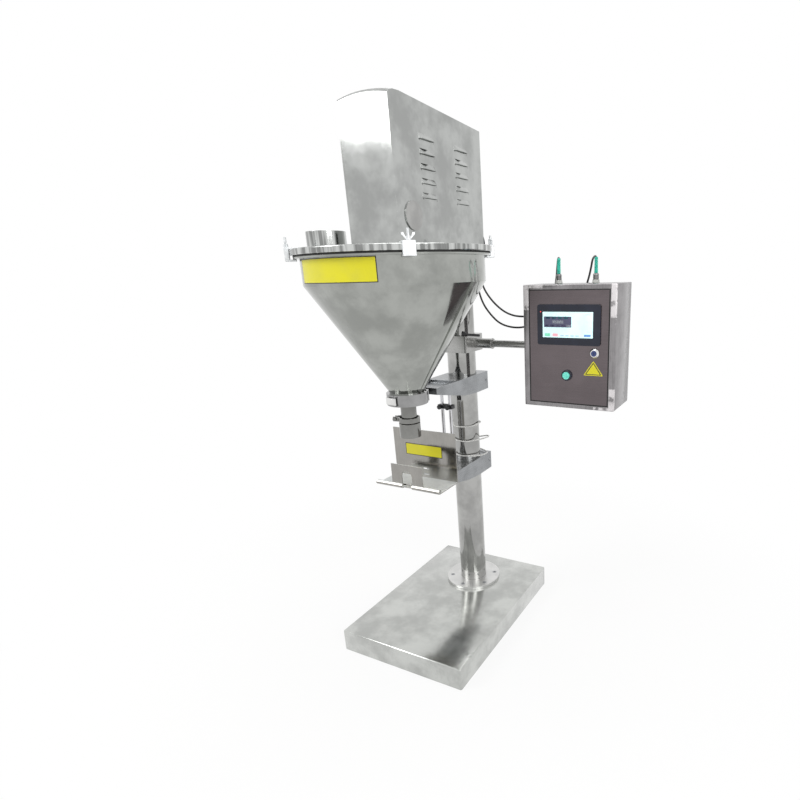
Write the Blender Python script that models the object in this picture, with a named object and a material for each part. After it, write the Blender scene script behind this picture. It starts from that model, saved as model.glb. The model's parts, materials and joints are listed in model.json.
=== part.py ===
"""Auger powder filler: a hopper with a driven screw on a column stand.

Metres, +Z up, the operator at -Y. The origin is the centre of the base's underside.
"""

import math

import bmesh
import bpy
from mathutils import Matrix, Vector

# Clearances and overruns shared by the whole machine
GAP = 0.0003
RUN_GAP = 0.001
OVERRUN = 0.004
LARGE_SEGMENTS = 48
COLUMN_SEGMENTS = 40
SMALL_SEGMENTS = 20
PIN_SEGMENTS = 12
SHARP_ANGLE = math.radians(32)

# Base: a folded steel cover over a welded chassis
BASE_WIDTH = 0.500
BASE_LENGTH = 0.700
BASE_HEIGHT = 0.080
BASE_SHEET = 0.003
BASE_EDGE_RADIUS = 0.005
CHASSIS_PLATE = 0.012
CHASSIS_WEB = 0.008
CHASSIS_WEB_SPREAD = 0.150
CHASSIS_WEB_LENGTH = 0.300
CHASSIS_PAD = 0.010
CHASSIS_PAD_WIDTH = 0.240

# Column and its bolted foot
COLUMN_Y = 0.167
COLUMN_RADIUS = 0.0525
COLUMN_WALL = 0.004
FOOT_RADIUS = 0.110
FOOT_THICKNESS = 0.010
FOOT_SCREWS = 6
FOOT_SCREW_CIRCLE = 0.088
FOOT_SCREW_HEAD = 0.009
FOOT_SCREW_SHANK = 0.0048
FOOT_SCREW_SINK = 0.0045

# Head: the lid plate, the plate that carries the drives, and the block on the column
HOPPER_Y = -0.176
LID_RADIUS = 0.292
LID_THICKNESS = 0.017
LID_TOP = 1.384
LID_EDGE_RADIUS = 0.002
HEAD_PLATE = 0.012
HEAD_BLOCK_WIDTH = 0.140
HEAD_BLOCK_GAP = 0.002
INLET_X = -0.191
INLET_Y = -0.250
INLET_RADIUS = 0.058
INLET_WALL = 0.0025
INLET_HEIGHT = 0.053
GASKET_THICKNESS = 0.004
GASKET_WIDTH = 0.022

# Motor hood
HOOD_WIDTH = 0.173
HOOD_FRONT_Y = -0.260
HOOD_BACK_Y = 0.218
HOOD_SHEET = 0.002
HOOD_FRONT_TOP = 1.757
HOOD_RIDGE_TOP = 1.772
HOOD_RIDGE_SETBACK = 0.050
HOOD_BACK_TOP = 1.755
HOOD_CROWN = 0.010
HOOD_STATIONS = 8
LOUVRE_LENGTH = 0.078
LOUVRE_HEIGHT = 0.014
LOUVRE_DEPTH = 0.008
LOUVRE_TAPER = 0.012
LOUVRE_SHEET = 0.0016
LOUVRE_ROWS = 5
LOUVRE_PITCH = 0.0385
LOUVRE_TOP_Z = 1.681
LOUVRE_FRONT_Y = -0.095
LOUVRE_BACK_Y = 0.092
PLUG_Y = -0.185
PLUG_Z = 1.468
PLUG_RADIUS = 0.040
PLUG_FACE = 0.003

# Drives under the hood
GEAR_MODULE = 0.003
GEAR_TEETH = 48
PINION_TEETH = 16
GEAR_FACE = 0.015
TOOTH_TIP_SHARE = 0.24
TOOTH_ROOT_SHARE = 0.52
ADDENDUM_SHARE = 0.9
DEDENDUM_SHARE = 1.25
SHAFT_RADIUS = 0.009
HUB_RADIUS = 0.018
BEARING_RADIUS = 0.029
BEARING_FLANGE_RADIUS = 0.040
BEARING_FLANGE = 0.005
GEAR_LIFT = 0.0035
BRIDGE_PLATE = 0.012
BRIDGE_LIFT = 0.040
BRIDGE_POST_RADIUS = 0.008
BRIDGE_BACK_Y = 0.022
COUPLING_RADIUS = 0.015
SERVO_SIDE = 0.080
SERVO_GEARBOX_HEIGHT = 0.068
SERVO_HEIGHT = 0.130
SERVO_CAP_SIDE = 0.060
SERVO_CAP_HEIGHT = 0.025
MIXER_BOX_SIDE = 0.084
MIXER_BOX_HEIGHT = 0.055
MIXER_MOTOR_RADIUS = 0.041
MIXER_MOTOR_HEIGHT = 0.120
PINION_SHAFT_RADIUS = 0.007

# Hopper shell
HOPPER_RADIUS = 0.269
HOPPER_SHEET = 0.003
HOPPER_FLANGE_RADIUS = 0.286
HOPPER_FLANGE = 0.005
CONE_TOP = 1.284
CONE_FOOT = 0.952
CONE_FOOT_RADIUS = 0.055
OUTLET_FLANGE_RADIUS = 0.0625
OUTLET_FLANGE = 0.013
SEAM_WIDTH = 0.014
SEAM_HEIGHT = 0.005

# Screw clamps round the lid
CLAMP_BEARINGS = (-135, -45, 45, 135)
CLAMP_WIDTH = 0.034
CLAMP_PLATE = 0.005
CLAMP_LEG = 0.013
CLAMP_REACH = 0.047
CLAMP_HOOK = 0.010
WING_HUB_RADIUS = 0.0065
WING_HUB_HEIGHT = 0.010
WING_SPAN = 0.034
WING_HEIGHT = 0.018
WING_THICKNESS = 0.004
WING_STUD_RADIUS = 0.0035
WING_STUD_HEIGHT = 0.028

# Auger and agitator inside the hopper
AUGER_RADIUS = 0.0215
AUGER_PITCH = 0.030
AUGER_FLIGHT = 0.0024
AUGER_FLIGHT_TOP = 0.975
AUGER_STEPS_PER_TURN = 12
AGITATOR_BAR = 0.006
AGITATOR_WIDTH = 0.018
AGITATOR_WALL_GAP = 0.009
AGITATOR_TOP_DROP = 0.030
AGITATOR_LIFT = 0.038
AGITATOR_RING = 0.012
AGITATOR_RING_RADIUS = 0.016

# Outlet: band clamp, neck, nozzle sleeve and its clamp
BAND_RADIUS = 0.066
BAND_TOP = 0.949
BAND_BOTTOM = 0.912
BAND_LIP = 0.003
BAND_HINGE_BEARING = 50
BAND_LATCH_BEARING = -92
BAND_LIP_END_BEARING = 12
BAND_HINGE_RADIUS = 0.0045
BAND_PIN_RADIUS = 0.002
BAND_STEPS = 14
LATCH_SWEEP = 34
LATCH_HEIGHT = 0.022
LATCH_PLATE = 0.003
LATCH_STANDOFF = 0.004
LATCH_PIVOT_RADIUS = 0.003
SADDLE_WIDTH = 0.040
SADDLE_HEIGHT = 0.014
NECK_RADIUS = 0.0255
NECK_WALL = 0.0025
NECK_FLANGE = 0.012
NECK_THROAT_RADIUS = 0.049
NECK_SHOULDER_RADIUS = 0.042
FERRULE_RADIUS = 0.031
FERRULE = 0.0045
FERRULE_JOINT = 0.857
SLEEVE_RADIUS = 0.0346
SLEEVE_WALL = 0.0025
SLEEVE_BOTTOM = 0.799
SLEEVE_SHOULDER = 0.007
NOZZLE_TIP = 0.003
AUGER_TIP = 0.009
NOZZLE_CLAMP_BEARING = 190
NOZZLE_CLAMP_HEIGHT = 0.015
NOZZLE_CLAMP_WALL = 0.0035
NOZZLE_EAR_LENGTH = 0.020
NOZZLE_EAR_THICKNESS = 0.004
NOZZLE_EAR_GAP = 0.012

# Folded brackets on the column
BRACKET_WIDTH = 0.125
BRACKET_SHEET = 0.003
BRACKET_BACK_Y = 0.2485
BRACKET_HEIGHT = 0.068
BRACKET_NOSE_HEIGHT = 0.022
BRACKET_BEND_Y = 0.150
BRACKET_KNEE_SHARE = 0.30
UPPER_BRACKET_TOP = 0.948
UPPER_NOSE_Y = -0.099
UPPER_POCKET_Y = 0.034
UPPER_POCKET_DEPTH = 0.012
LOWER_BRACKET_TOP = 0.622
CLAMP_BLOCK_FRONT_Y = 0.098
CLAMP_BLOCK_HEIGHT = 0.050
CLAMP_BLOCK_SLIT = 0.004
BRACKET_BOLT_RADIUS = 0.0055
BRACKET_BOLT_SETBACK = 0.012
LOAD_CELL_WIDTH = 0.030
LOAD_CELL_HEIGHT = 0.020
LOAD_CELL_HOLE_RADIUS = 0.0075
LOAD_CELL_HOLE_PITCH = 0.024

# Weighing tray
TRAY_Y = -0.108
TRAY_WIDTH = 0.256
TRAY_SHEET = 0.0025
TRAY_CLEARANCE = 0.003
TRAY_FLOOR = 0.628
TRAY_TOP = 0.800
TRAY_FRONT_Y = -0.224
TRAY_LIP_RADIUS = 0.008
TRAY_LIP_STEPS = 7
TRAY_LIP_END = 10
TRAY_TONGUE_WIDTH = 0.090
TRAY_TONGUE_FOOT = 0.597
TRAY_SLOT_WIDTH = 0.024
TRAY_SLOT_HEIGHT = 0.004
TRAY_SLOT_HEIGHTS = (0.640, 0.661)
UPSTAND_WIDTH = 0.124
UPSTAND_TOP = 0.709
UPSTAND_SLOT_WIDTH = 0.040
UPSTAND_SLOT_TOP = 0.690
UPSTAND_FILLET = 0.006
UPSTAND_ARCH_STEPS = 8

# Guide rods with their sliding cross clamp
ROD_RADIUS = 0.006
ROD_SPREAD = 0.034
ROD_Y = 0.043
ROD_CLAMP_Z = 0.849
ROD_CLAMP_WIDTH = 0.060
ROD_CLAMP_DEPTH = 0.022
ROD_CLAMP_HEIGHT = 0.014
KNOB_RADIUS = 0.0075
KNOB_LENGTH = 0.013
KNOB_STEM_RADIUS = 0.003

# Swinging arm of the control cabinet
ARM_Z = 1.064
ARM_CLAMP_HEIGHT = 0.060
ARM_CLAMP_WIDTH = 0.122
ARM_CLAMP_WALL = 0.0095
ARM_CLAMP_SLIT = 0.004
ARM_SOCKET_RADIUS = 0.0175
ARM_SOCKET_END_X = 0.136
ARM_SOCKET_LIP = 0.0015
ARM_SOCKET_LIP_LENGTH = 0.004
ARM_TUBE_RADIUS = 0.0125
ARM_TUBE_WALL = 0.0025
LEVER_LENGTH = 0.070
LEVER_RADIUS = 0.0045
LEVER_HUB_RADIUS = 0.009
LEVER_HUB_HEIGHT = 0.014
LEVER_X = 0.047
LEVER_SETBACK = 0.047
LEVER_REST = -12

# Control cabinet
CABINET_X = 0.327
CABINET_Y = 0.023
CABINET_Z = 0.888
CABINET_WIDTH = 0.300
CABINET_HEIGHT = 0.380
CABINET_DEPTH = 0.163
CABINET_SHEET = 0.002
CABINET_EDGE_RADIUS = 0.003
FRAME_SIDE = 0.019
FRAME_END = 0.0135
DOOR_GAP = 0.0015
DOOR_SHEET = 0.002
DOOR_DEPTH = 0.012
HINGE_INSET = 0.0035
HINGE_PIN_RADIUS = 0.0015
HINGE_PIN_REACH = 0.0045
REBATE_SHEET = 0.0015
REBATE_LIP = 0.005
PANEL_X = 0.479
PANEL_Z = 1.149
PANEL_WIDTH = 0.203
PANEL_HEIGHT = 0.122
PANEL_BEZEL = 0.006
PANEL_BODY_INSET = 0.010
PANEL_BODY_DEPTH = 0.034
PANEL_CORNER_RADIUS = 0.006
LOCK_X = 0.563
LOCK_Z = 1.066
LOCK_RADIUS = 0.0150
LOCK_PROUD = 0.009
LOCK_BARREL_RADIUS = 0.009
LOCK_BARREL_DEPTH = 0.022
LOCK_CAM_LENGTH = 0.044
LOCK_CAM_WIDTH = 0.014
LOCK_CAM_THICKNESS = 0.003
BUTTON_X = 0.474
BUTTON_Z = 0.994
BUTTON_CAP_RADIUS = 0.0115
BUTTON_RING_RADIUS = 0.0165
BUTTON_RING_PROUD = 0.006
BUTTON_PROUD = 0.011
BUTTON_BARREL_DEPTH = 0.034
BUTTON_TRAVEL = 0.004
GLAND_XS = (0.401, 0.525)
GLAND_Y = 0.140
GLAND_NUT_RADIUS = 0.0120
GLAND_NUT_HEIGHT = 0.014
GLAND_CAP_RADIUS = 0.0095
GLAND_CAP_HEIGHT = 0.023
GLAND_SLEEVE_RADIUS = 0.0062
GLAND_SLEEVE_HEIGHT = 0.017
HOOD_CABLE_XS = (0.030, 0.060)
HOOD_CABLE_Z = 1.450
MOUNT_PLATE = 0.0025
MOUNT_PLATE_MARGIN = 0.015
MOUNT_PLATE_STANDOFF = 0.012
STANDOFF_RADIUS = 0.006
DRIVE_WIDTH = 0.110
DRIVE_HEIGHT = 0.160
DRIVE_DEPTH = 0.062

# Cables
CABLE_RADIUS = 0.0033
CELL_CABLE_RADIUS = 0.0025
CABLE_SAMPLES = 64
CELL_CABLE_SAMPLES = 80
SIGNAL_ROUTE = (
    (0.0600, 0.2080, 1.4500),
    (0.0600, 0.2230, 1.4500),
    (0.0600, 0.2420, 1.4475),
    (0.0600, 0.2580, 1.4330),
    (0.0602, 0.2680, 1.4080),
    (0.0610, 0.2580, 1.3700),
    (0.0650, 0.2380, 1.3300),
    (0.0730, 0.2180, 1.2920),
    (0.0860, 0.2060, 1.2560),
    (0.1170, 0.2040, 1.2140),
    (0.1570, 0.2040, 1.1800),
    (0.1970, 0.2040, 1.1620),
    (0.2400, 0.2040, 1.1570),
    (0.3000, 0.2040, 1.1600),
    (0.3600, 0.2040, 1.1720),
    (0.4100, 0.2040, 1.1920),
    (0.4450, 0.2040, 1.2180),
    (0.4680, 0.2040, 1.2500),
    (0.4810, 0.2020, 1.2850),
    (0.4900, 0.1960, 1.3150),
    (0.5000, 0.1800, 1.3380),
    (0.5140, 0.1590, 1.3470),
    (0.5235, 0.1430, 1.3430),
    (0.5250, 0.1400, 1.3330),
    (0.5250, 0.1400, 1.3228),
)
POWER_ROUTE = (
    (0.0300, 0.2080, 1.4500),
    (0.0300, 0.2230, 1.4500),
    (0.0300, 0.2420, 1.4475),
    (0.0300, 0.2580, 1.4330),
    (0.0302, 0.2680, 1.4080),
    (0.0320, 0.2600, 1.3700),
    (0.0380, 0.2440, 1.3300),
    (0.0500, 0.2220, 1.2880),
    (0.0700, 0.2000, 1.2400),
    (0.0910, 0.1950, 1.1960),
    (0.1230, 0.1950, 1.1570),
    (0.1550, 0.1950, 1.1330),
    (0.1960, 0.1950, 1.1210),
    (0.2410, 0.1950, 1.1210),
    (0.2850, 0.1950, 1.1350),
    (0.3230, 0.1950, 1.1650),
    (0.3490, 0.1950, 1.2050),
    (0.3640, 0.1950, 1.2500),
    (0.3710, 0.1945, 1.2900),
    (0.3760, 0.1890, 1.3200),
    (0.3840, 0.1740, 1.3400),
    (0.3930, 0.1570, 1.3460),
    (0.4000, 0.1430, 1.3430),
    (0.4010, 0.1400, 1.3330),
    (0.4010, 0.1400, 1.3228),
)
CELL_CABLE_ROUTE = (
    (-0.0490, 0.0820, 0.6226),
    (-0.0490, 0.0820, 0.6290),
    (-0.0540, 0.0920, 0.6345),
    (-0.0640, 0.1200, 0.6360),
    (-0.0650, 0.1600, 0.6370),
    (-0.0560, 0.1950, 0.6370),
    (-0.0330, 0.2240, 0.6350),
    (0.0050, 0.2410, 0.6300),
    (0.0400, 0.2330, 0.6280),
    (0.0650, 0.2120, 0.6280),
    (0.0720, 0.1850, 0.6310),
    (0.0670, 0.1500, 0.6350),
    (0.0480, 0.1250, 0.6380),
    (0.0150, 0.1080, 0.6400),
    (-0.0200, 0.1120, 0.6440),
    (-0.0500, 0.1340, 0.6510),
    (-0.0590, 0.1700, 0.6600),
    (-0.0430, 0.2080, 0.6700),
    (-0.0050, 0.2270, 0.6800),
    (0.0350, 0.2190, 0.6890),
    (0.0680, 0.2080, 0.6990),
    (0.0890, 0.1900, 0.7040),
    (0.0860, 0.1700, 0.7030),
    (0.0650, 0.1450, 0.6990),
    (0.0390, 0.1210, 0.6970),
    (0.0080, 0.1080, 0.6990),
    (-0.0270, 0.1140, 0.7040),
    (-0.0530, 0.1400, 0.7130),
    (-0.0570, 0.1780, 0.7240),
    (-0.0380, 0.2120, 0.7350),
    (0.0000, 0.2265, 0.7450),
    (0.0390, 0.2120, 0.7530),
    (0.0585, 0.1750, 0.7590),
    (0.0520, 0.1440, 0.7555),
    (0.0340, 0.1225, 0.7540),
    (0.0100, 0.1095, 0.7550),
    (-0.0080, 0.0970, 0.7620),
    (0.0005, 0.0790, 0.7950),
    (0.0000, 0.0690, 0.8300),
    (0.0010, 0.0650, 0.8750),
    (0.0010, 0.0650, 0.9440),
)

# Places worked out from the sizes above
LID_BOTTOM = LID_TOP - LID_THICKNESS
GASKET_TOP = LID_BOTTOM - GAP
GASKET_BOTTOM = GASKET_TOP - GASKET_THICKNESS
HOPPER_TOP = GASKET_BOTTOM - GAP
HEAD_BOTTOM = LID_TOP + GAP
HEAD_TOP = HEAD_BOTTOM + HEAD_PLATE
COLUMN_TOP = LID_BOTTOM - 2 * GAP
HOOD_HALF = HOOD_WIDTH / 2
HOOD_INNER_HALF = HOOD_HALF - HOOD_SHEET - GAP
BEARING_TOP = HEAD_TOP + GAP + BEARING_FLANGE
GEAR_BOTTOM = BEARING_TOP + GEAR_LIFT
GEAR_TOP = GEAR_BOTTOM + GEAR_FACE
GEAR_RADIUS = GEAR_MODULE * GEAR_TEETH / 2
PINION_RADIUS = GEAR_MODULE * PINION_TEETH / 2
PINION_Y = HOPPER_Y + GEAR_RADIUS + PINION_RADIUS
BRIDGE_BOTTOM = HEAD_TOP + BRIDGE_LIFT
BRIDGE_TOP = BRIDGE_BOTTOM + BRIDGE_PLATE
AGITATOR_FOOT = CONE_FOOT + AGITATOR_LIFT
OUTLET_TOP = BAND_TOP - BAND_LIP - GAP
OUTLET_BOTTOM = OUTLET_TOP - OUTLET_FLANGE
BRACKET_HALF = BRACKET_WIDTH / 2
BRACKET_INNER_HALF = BRACKET_HALF - BRACKET_SHEET
DOOR_WIDTH = CABINET_WIDTH - 2 * FRAME_SIDE
DOOR_HEIGHT = CABINET_HEIGHT - 2 * FRAME_END
DOOR_X = CABINET_X + FRAME_SIDE
DOOR_Z = CABINET_Z + FRAME_END
LOAD_CELL_Y = TRAY_Y + TRAY_SHEET + GAP
LOWER_NOSE_Y = LOAD_CELL_Y + TRAY_CLEARANCE


def clear_scene():
    for old in list(bpy.data.objects):
        bpy.data.objects.remove(old, do_unlink=True)


def finish(name, colour, roughness, metallic=1.0):
    material = bpy.data.materials.new(name)
    material.use_nodes = True
    shader = material.node_tree.nodes["Principled BSDF"]
    shader.inputs["Base Color"].default_value = (*colour, 1.0)
    shader.inputs["Roughness"].default_value = roughness
    shader.inputs["Metallic"].default_value = metallic
    material.diffuse_color = (*colour, 1.0)
    return material


def polar(radius, degrees, y=0.0):
    angle = math.radians(degrees)
    return radius * math.cos(angle), y + radius * math.sin(angle)


def place(name, solid, material, origin=(0.0, 0.0, 0.0), parent=None):
    """Make an object whose origin is at the given world point."""
    bmesh.ops.translate(solid, verts=solid.verts, vec=-Vector(origin))
    mesh = bpy.data.meshes.new(name)
    solid.to_mesh(mesh)
    solid.free()
    mesh.shade_smooth()
    mesh.set_sharp_from_angle(angle=SHARP_ANGLE)
    mesh.materials.append(material)
    part = bpy.data.objects.new(name, mesh)
    bpy.context.collection.objects.link(part)
    part.location = origin
    if parent:
        part.parent = parent
        part.matrix_parent_inverse = Matrix.Translation(parent.location).inverted()
    return part


def pivot(name, location, parent=None):
    """An empty on a joint's axis, for the pieces that swing together."""
    empty = bpy.data.objects.new(name, None)
    bpy.context.collection.objects.link(empty)
    empty.location = location
    if parent:
        empty.parent = parent
        empty.matrix_parent_inverse = Matrix.Translation(parent.location).inverted()
    return empty


def skin(rings, closed=False):
    """Join rings of points into a solid, capped at both ends unless closed."""
    solid = bmesh.new()
    loops = [[solid.verts.new(point) for point in ring] for ring in rings]
    count = len(loops[0])
    pairs = list(zip(loops, loops[1:]))
    if closed:
        pairs.append((loops[-1], loops[0]))
    for a, b in pairs:
        for i in range(count):
            j = (i + 1) % count
            solid.faces.new((a[i], a[j], b[j], b[i]))
    if not closed:
        solid.faces.new(loops[0])
        solid.faces.new(loops[-1])
    bmesh.ops.recalc_face_normals(solid, faces=solid.faces)
    return solid


def block(x, y, z):
    """A box between the low and high corner values of each axis."""
    return prism([(x[0], y[0]), (x[1], y[0]), (x[1], y[1]), (x[0], y[1])], z)


def prism(outline, span, axis="Z"):
    """Extrude a flat outline: (x, y) along Z, (y, z) along X or (x, z) along Y."""
    order = {
        "Z": lambda a, b, c: (a, b, c),
        "X": lambda a, b, c: (c, a, b),
        "Y": lambda a, b, c: (a, c, b),
    }[axis]
    return skin([[order(a, b, c) for a, b in outline] for c in span])


def turned(profile, segments, centre=(0.0, 0.0), start=0.0, sweep=360.0):
    """Turn a closed (radius, z) profile about a vertical axis."""
    whole = sweep >= 360.0
    steps = segments if whole else segments + 1
    rings = []
    for i in range(steps):
        angle = math.radians(start + sweep * i / segments)
        rings.append(
            [
                (centre[0] + r * math.cos(angle), centre[1] + r * math.sin(angle), z)
                for r, z in profile
            ]
        )
    return skin(rings, closed=whole)


def rod(radius, z, segments=SMALL_SEGMENTS, centre=(0.0, 0.0)):
    """A round bar along Z."""
    return stepped([(radius, z[0]), (radius, z[1])], segments, centre)


def stepped(profile, segments=SMALL_SEGMENTS, centre=(0.0, 0.0)):
    """A solid turned bar: rings of (radius, z) from one end to the other."""
    rings = []
    for radius, z in profile:
        rings.append(
            [
                (
                    centre[0] + radius * math.cos(math.tau * i / segments),
                    centre[1] + radius * math.sin(math.tau * i / segments),
                    z,
                )
                for i in range(segments)
            ]
        )
    return skin(rings)


def moved(solid, offset=(0.0, 0.0, 0.0), degrees=0.0, axis="Z"):
    turn = Matrix.Rotation(math.radians(degrees), 4, axis)
    bmesh.ops.transform(solid, matrix=Matrix.Translation(offset) @ turn, verts=solid.verts)
    return solid


def lay_along(solid, axis):
    """Turn a solid made along Z so that it runs along +X, +Y or -Y."""
    degrees, about = {"X": (90, "Y"), "Y": (-90, "X"), "-Y": (90, "X")}[axis]
    return moved(solid, degrees=degrees, axis=about)


def softened(solid, radius, axis=None, segments=2):
    """Round the edges of a box; axis keeps to the edges along it."""
    edges = []
    for edge in solid.edges:
        way = (edge.verts[1].co - edge.verts[0].co).normalized()
        if axis is None or abs(way["XYZ".index(axis)]) > 0.99:
            edges.append(edge)
    bmesh.ops.bevel(
        solid, geom=edges, offset=radius, segments=segments, affect="EDGES", profile=0.5
    )
    return solid


def gathered(solids):
    """Put separate solids into one bmesh."""
    whole = bmesh.new()
    for solid in solids:
        mesh = bpy.data.meshes.new("piece")
        solid.to_mesh(mesh)
        solid.free()
        whole.from_mesh(mesh)
        bpy.data.meshes.remove(mesh)
    return whole


def combined(solid, tool, operation):
    """Boolean of two solids, worked out by a modifier and kept as a mesh."""
    objects = []
    for name, source in (("body", solid), ("tool", tool)):
        mesh = bpy.data.meshes.new(name)
        source.to_mesh(mesh)
        source.free()
        holder = bpy.data.objects.new(name, mesh)
        bpy.context.collection.objects.link(holder)
        objects.append(holder)
    body, cutter = objects
    cutter.hide_render = True
    cutter.display_type = "WIRE"
    modifier = body.modifiers.new("boolean", "BOOLEAN")
    modifier.operation = operation
    modifier.solver = "EXACT"
    modifier.object = cutter
    depsgraph = bpy.context.evaluated_depsgraph_get()
    mesh = bpy.data.meshes.new_from_object(body.evaluated_get(depsgraph))
    result = bmesh.new()
    result.from_mesh(mesh)
    for holder in objects:
        old = holder.data
        bpy.data.objects.remove(holder, do_unlink=True)
        bpy.data.meshes.remove(old)
    bpy.data.meshes.remove(mesh)
    return result


def cut(solid, *tools):
    for tool in tools:
        solid = combined(solid, tool, "DIFFERENCE")
    return solid


def joined(solid, *others):
    for other in others:
        solid = combined(solid, other, "UNION")
    return solid


def arc(centre, radius, start, end, steps):
    """Points of an arc in a plane, both ends included."""
    points = []
    for i in range(steps + 1):
        angle = math.radians(start + (end - start) * i / steps)
        points.append(
            (centre[0] + radius * math.cos(angle), centre[1] + radius * math.sin(angle))
        )
    return points


def base(steel, dark):
    half_x, half_y = BASE_WIDTH / 2, BASE_LENGTH / 2
    cover = block((-half_x, half_x), (-half_y, half_y), (-BASE_EDGE_RADIUS, BASE_HEIGHT))
    softened(cover, BASE_EDGE_RADIUS)
    inner_x, inner_y = half_x - BASE_SHEET, half_y - BASE_SHEET
    cover = cut(
        cover,
        block((-half_x - OVERRUN, half_x + OVERRUN), (-half_y - OVERRUN, half_y + OVERRUN),
              (-BASE_EDGE_RADIUS - OVERRUN, 0.0)),
        block((-inner_x, inner_x), (-inner_y, inner_y), (-OVERRUN, BASE_HEIGHT - BASE_SHEET)),
    )
    place("base_cover", cover, steel)

    plate_x, plate_y = inner_x - GAP, inner_y - GAP
    chassis = block((-plate_x, plate_x), (-plate_y, plate_y), (0.0, CHASSIS_PLATE))
    top = BASE_HEIGHT - BASE_SHEET - GAP
    front, back = COLUMN_Y - CHASSIS_WEB_LENGTH / 2, COLUMN_Y + CHASSIS_WEB_LENGTH / 2
    for side in (-1, 1):
        x = side * CHASSIS_WEB_SPREAD / 2
        web = block(
            (x - CHASSIS_WEB / 2, x + CHASSIS_WEB / 2),
            (front, back),
            (CHASSIS_PLATE / 2, top - CHASSIS_PAD / 2),
        )
        chassis = joined(chassis, web)
    pad = block(
        (-CHASSIS_PAD_WIDTH / 2, CHASSIS_PAD_WIDTH / 2), (front, back), (top - CHASSIS_PAD, top)
    )
    place("base_chassis", joined(chassis, pad), dark)


def column(polished, steel):
    foot = BASE_HEIGHT + GAP
    bore = COLUMN_RADIUS - COLUMN_WALL
    centre = (0.0, COLUMN_Y)
    tube = turned(
        [(COLUMN_RADIUS, foot), (COLUMN_RADIUS, COLUMN_TOP), (bore, COLUMN_TOP), (bore, foot)],
        COLUMN_SEGMENTS,
        centre,
    )
    place("column_tube", tube, polished)

    top = foot + FOOT_THICKNESS
    flange = turned(
        [(COLUMN_RADIUS + GAP, foot), (FOOT_RADIUS, foot), (FOOT_RADIUS, top),
         (COLUMN_RADIUS + GAP, top)],
        COLUMN_SEGMENTS,
        centre,
    )
    sink = top - FOOT_SCREW_SINK
    for i in range(FOOT_SCREWS):
        spot = polar(FOOT_SCREW_CIRCLE, 360 * i / FOOT_SCREWS + 360 / FOOT_SCREWS / 2, COLUMN_Y)
        hole = stepped(
            [(FOOT_SCREW_SHANK, foot - OVERRUN), (FOOT_SCREW_SHANK, sink),
             (FOOT_SCREW_HEAD, top), (FOOT_SCREW_HEAD, top + OVERRUN)],
            PIN_SEGMENTS,
            spot,
        )
        flange = cut(flange, hole)
    place("column_flange", flange, steel)


def head(polished, steel, rubber):
    axis = (0.0, HOPPER_Y)
    back = HOOD_BACK_Y - HOOD_SHEET - GAP
    lid = turned(
        [(BEARING_RADIUS + GAP, LID_BOTTOM), (LID_RADIUS - LID_EDGE_RADIUS, LID_BOTTOM),
         (LID_RADIUS, LID_BOTTOM + LID_EDGE_RADIUS), (LID_RADIUS, LID_TOP - LID_EDGE_RADIUS),
         (LID_RADIUS - LID_EDGE_RADIUS, LID_TOP), (BEARING_RADIUS + GAP, LID_TOP)],
        LARGE_SEGMENTS,
        axis,
    )
    inlet_bore = INLET_RADIUS - INLET_WALL
    inlet = (INLET_X, INLET_Y)
    spout = rod(INLET_RADIUS, (LID_TOP - LID_THICKNESS / 2, LID_TOP + INLET_HEIGHT),
                LARGE_SEGMENTS // 2, inlet)
    bore = rod(inlet_bore, (LID_BOTTOM - OVERRUN, LID_TOP + INLET_HEIGHT + OVERRUN),
               LARGE_SEGMENTS // 2, inlet)
    place("hopper_lid", cut(joined(lid, spout), bore), polished)

    outer = HOPPER_FLANGE_RADIUS
    gasket = turned(
        [(outer - GASKET_WIDTH, GASKET_BOTTOM), (outer, GASKET_BOTTOM), (outer, GASKET_TOP),
         (outer - GASKET_WIDTH, GASKET_TOP)],
        LARGE_SEGMENTS,
        axis,
    )
    place("lid_gasket", gasket, rubber)

    half = HOOD_INNER_HALF
    plate = block((-half, half), (HOOD_FRONT_Y + HOOD_SHEET + GAP, back), (HEAD_BOTTOM, HEAD_TOP))
    plate = cut(plate, rod(BEARING_RADIUS + GAP, (HEAD_BOTTOM - OVERRUN, HEAD_TOP + OVERRUN),
                           LARGE_SEGMENTS, axis))
    place("head_plate", plate, steel)

    block_front = HOPPER_Y + LID_RADIUS + HEAD_BLOCK_GAP
    post = block(
        (-HEAD_BLOCK_WIDTH / 2, HEAD_BLOCK_WIDTH / 2), (block_front, back),
        (COLUMN_TOP + GAP, LID_TOP),
    )
    place("column_head_block", softened(post, BASE_EDGE_RADIUS, "Z"), steel)


def hood_form(inset, bottom):
    """The hood's outline in side view, crowned from side to side."""
    front, back = HOOD_FRONT_Y + inset, HOOD_BACK_Y - inset
    rise = HOOD_RIDGE_TOP - HOOD_FRONT_TOP
    half = HOOD_HALF - inset
    brow = [
        (HOOD_FRONT_Y + HOOD_RIDGE_SETBACK * (1 - math.cos(turn)),
         HOOD_FRONT_TOP + rise * math.sin(turn))
        for turn in (math.pi / 2 * i / 3 for i in range(4))
    ]
    rings = []
    for i in range(HOOD_STATIONS + 1):
        x = half * (2 * i / HOOD_STATIONS - 1)
        lift = HOOD_CROWN * (1 - (x / HOOD_HALF) ** 2) - inset
        top = [(max(y, front), z + lift) for y, z in brow]
        ring = [(front, bottom), *top, (back, HOOD_BACK_TOP + lift), (back, bottom)]
        rings.append([(x, y, z) for y, z in ring])
    return skin(rings)


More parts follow.
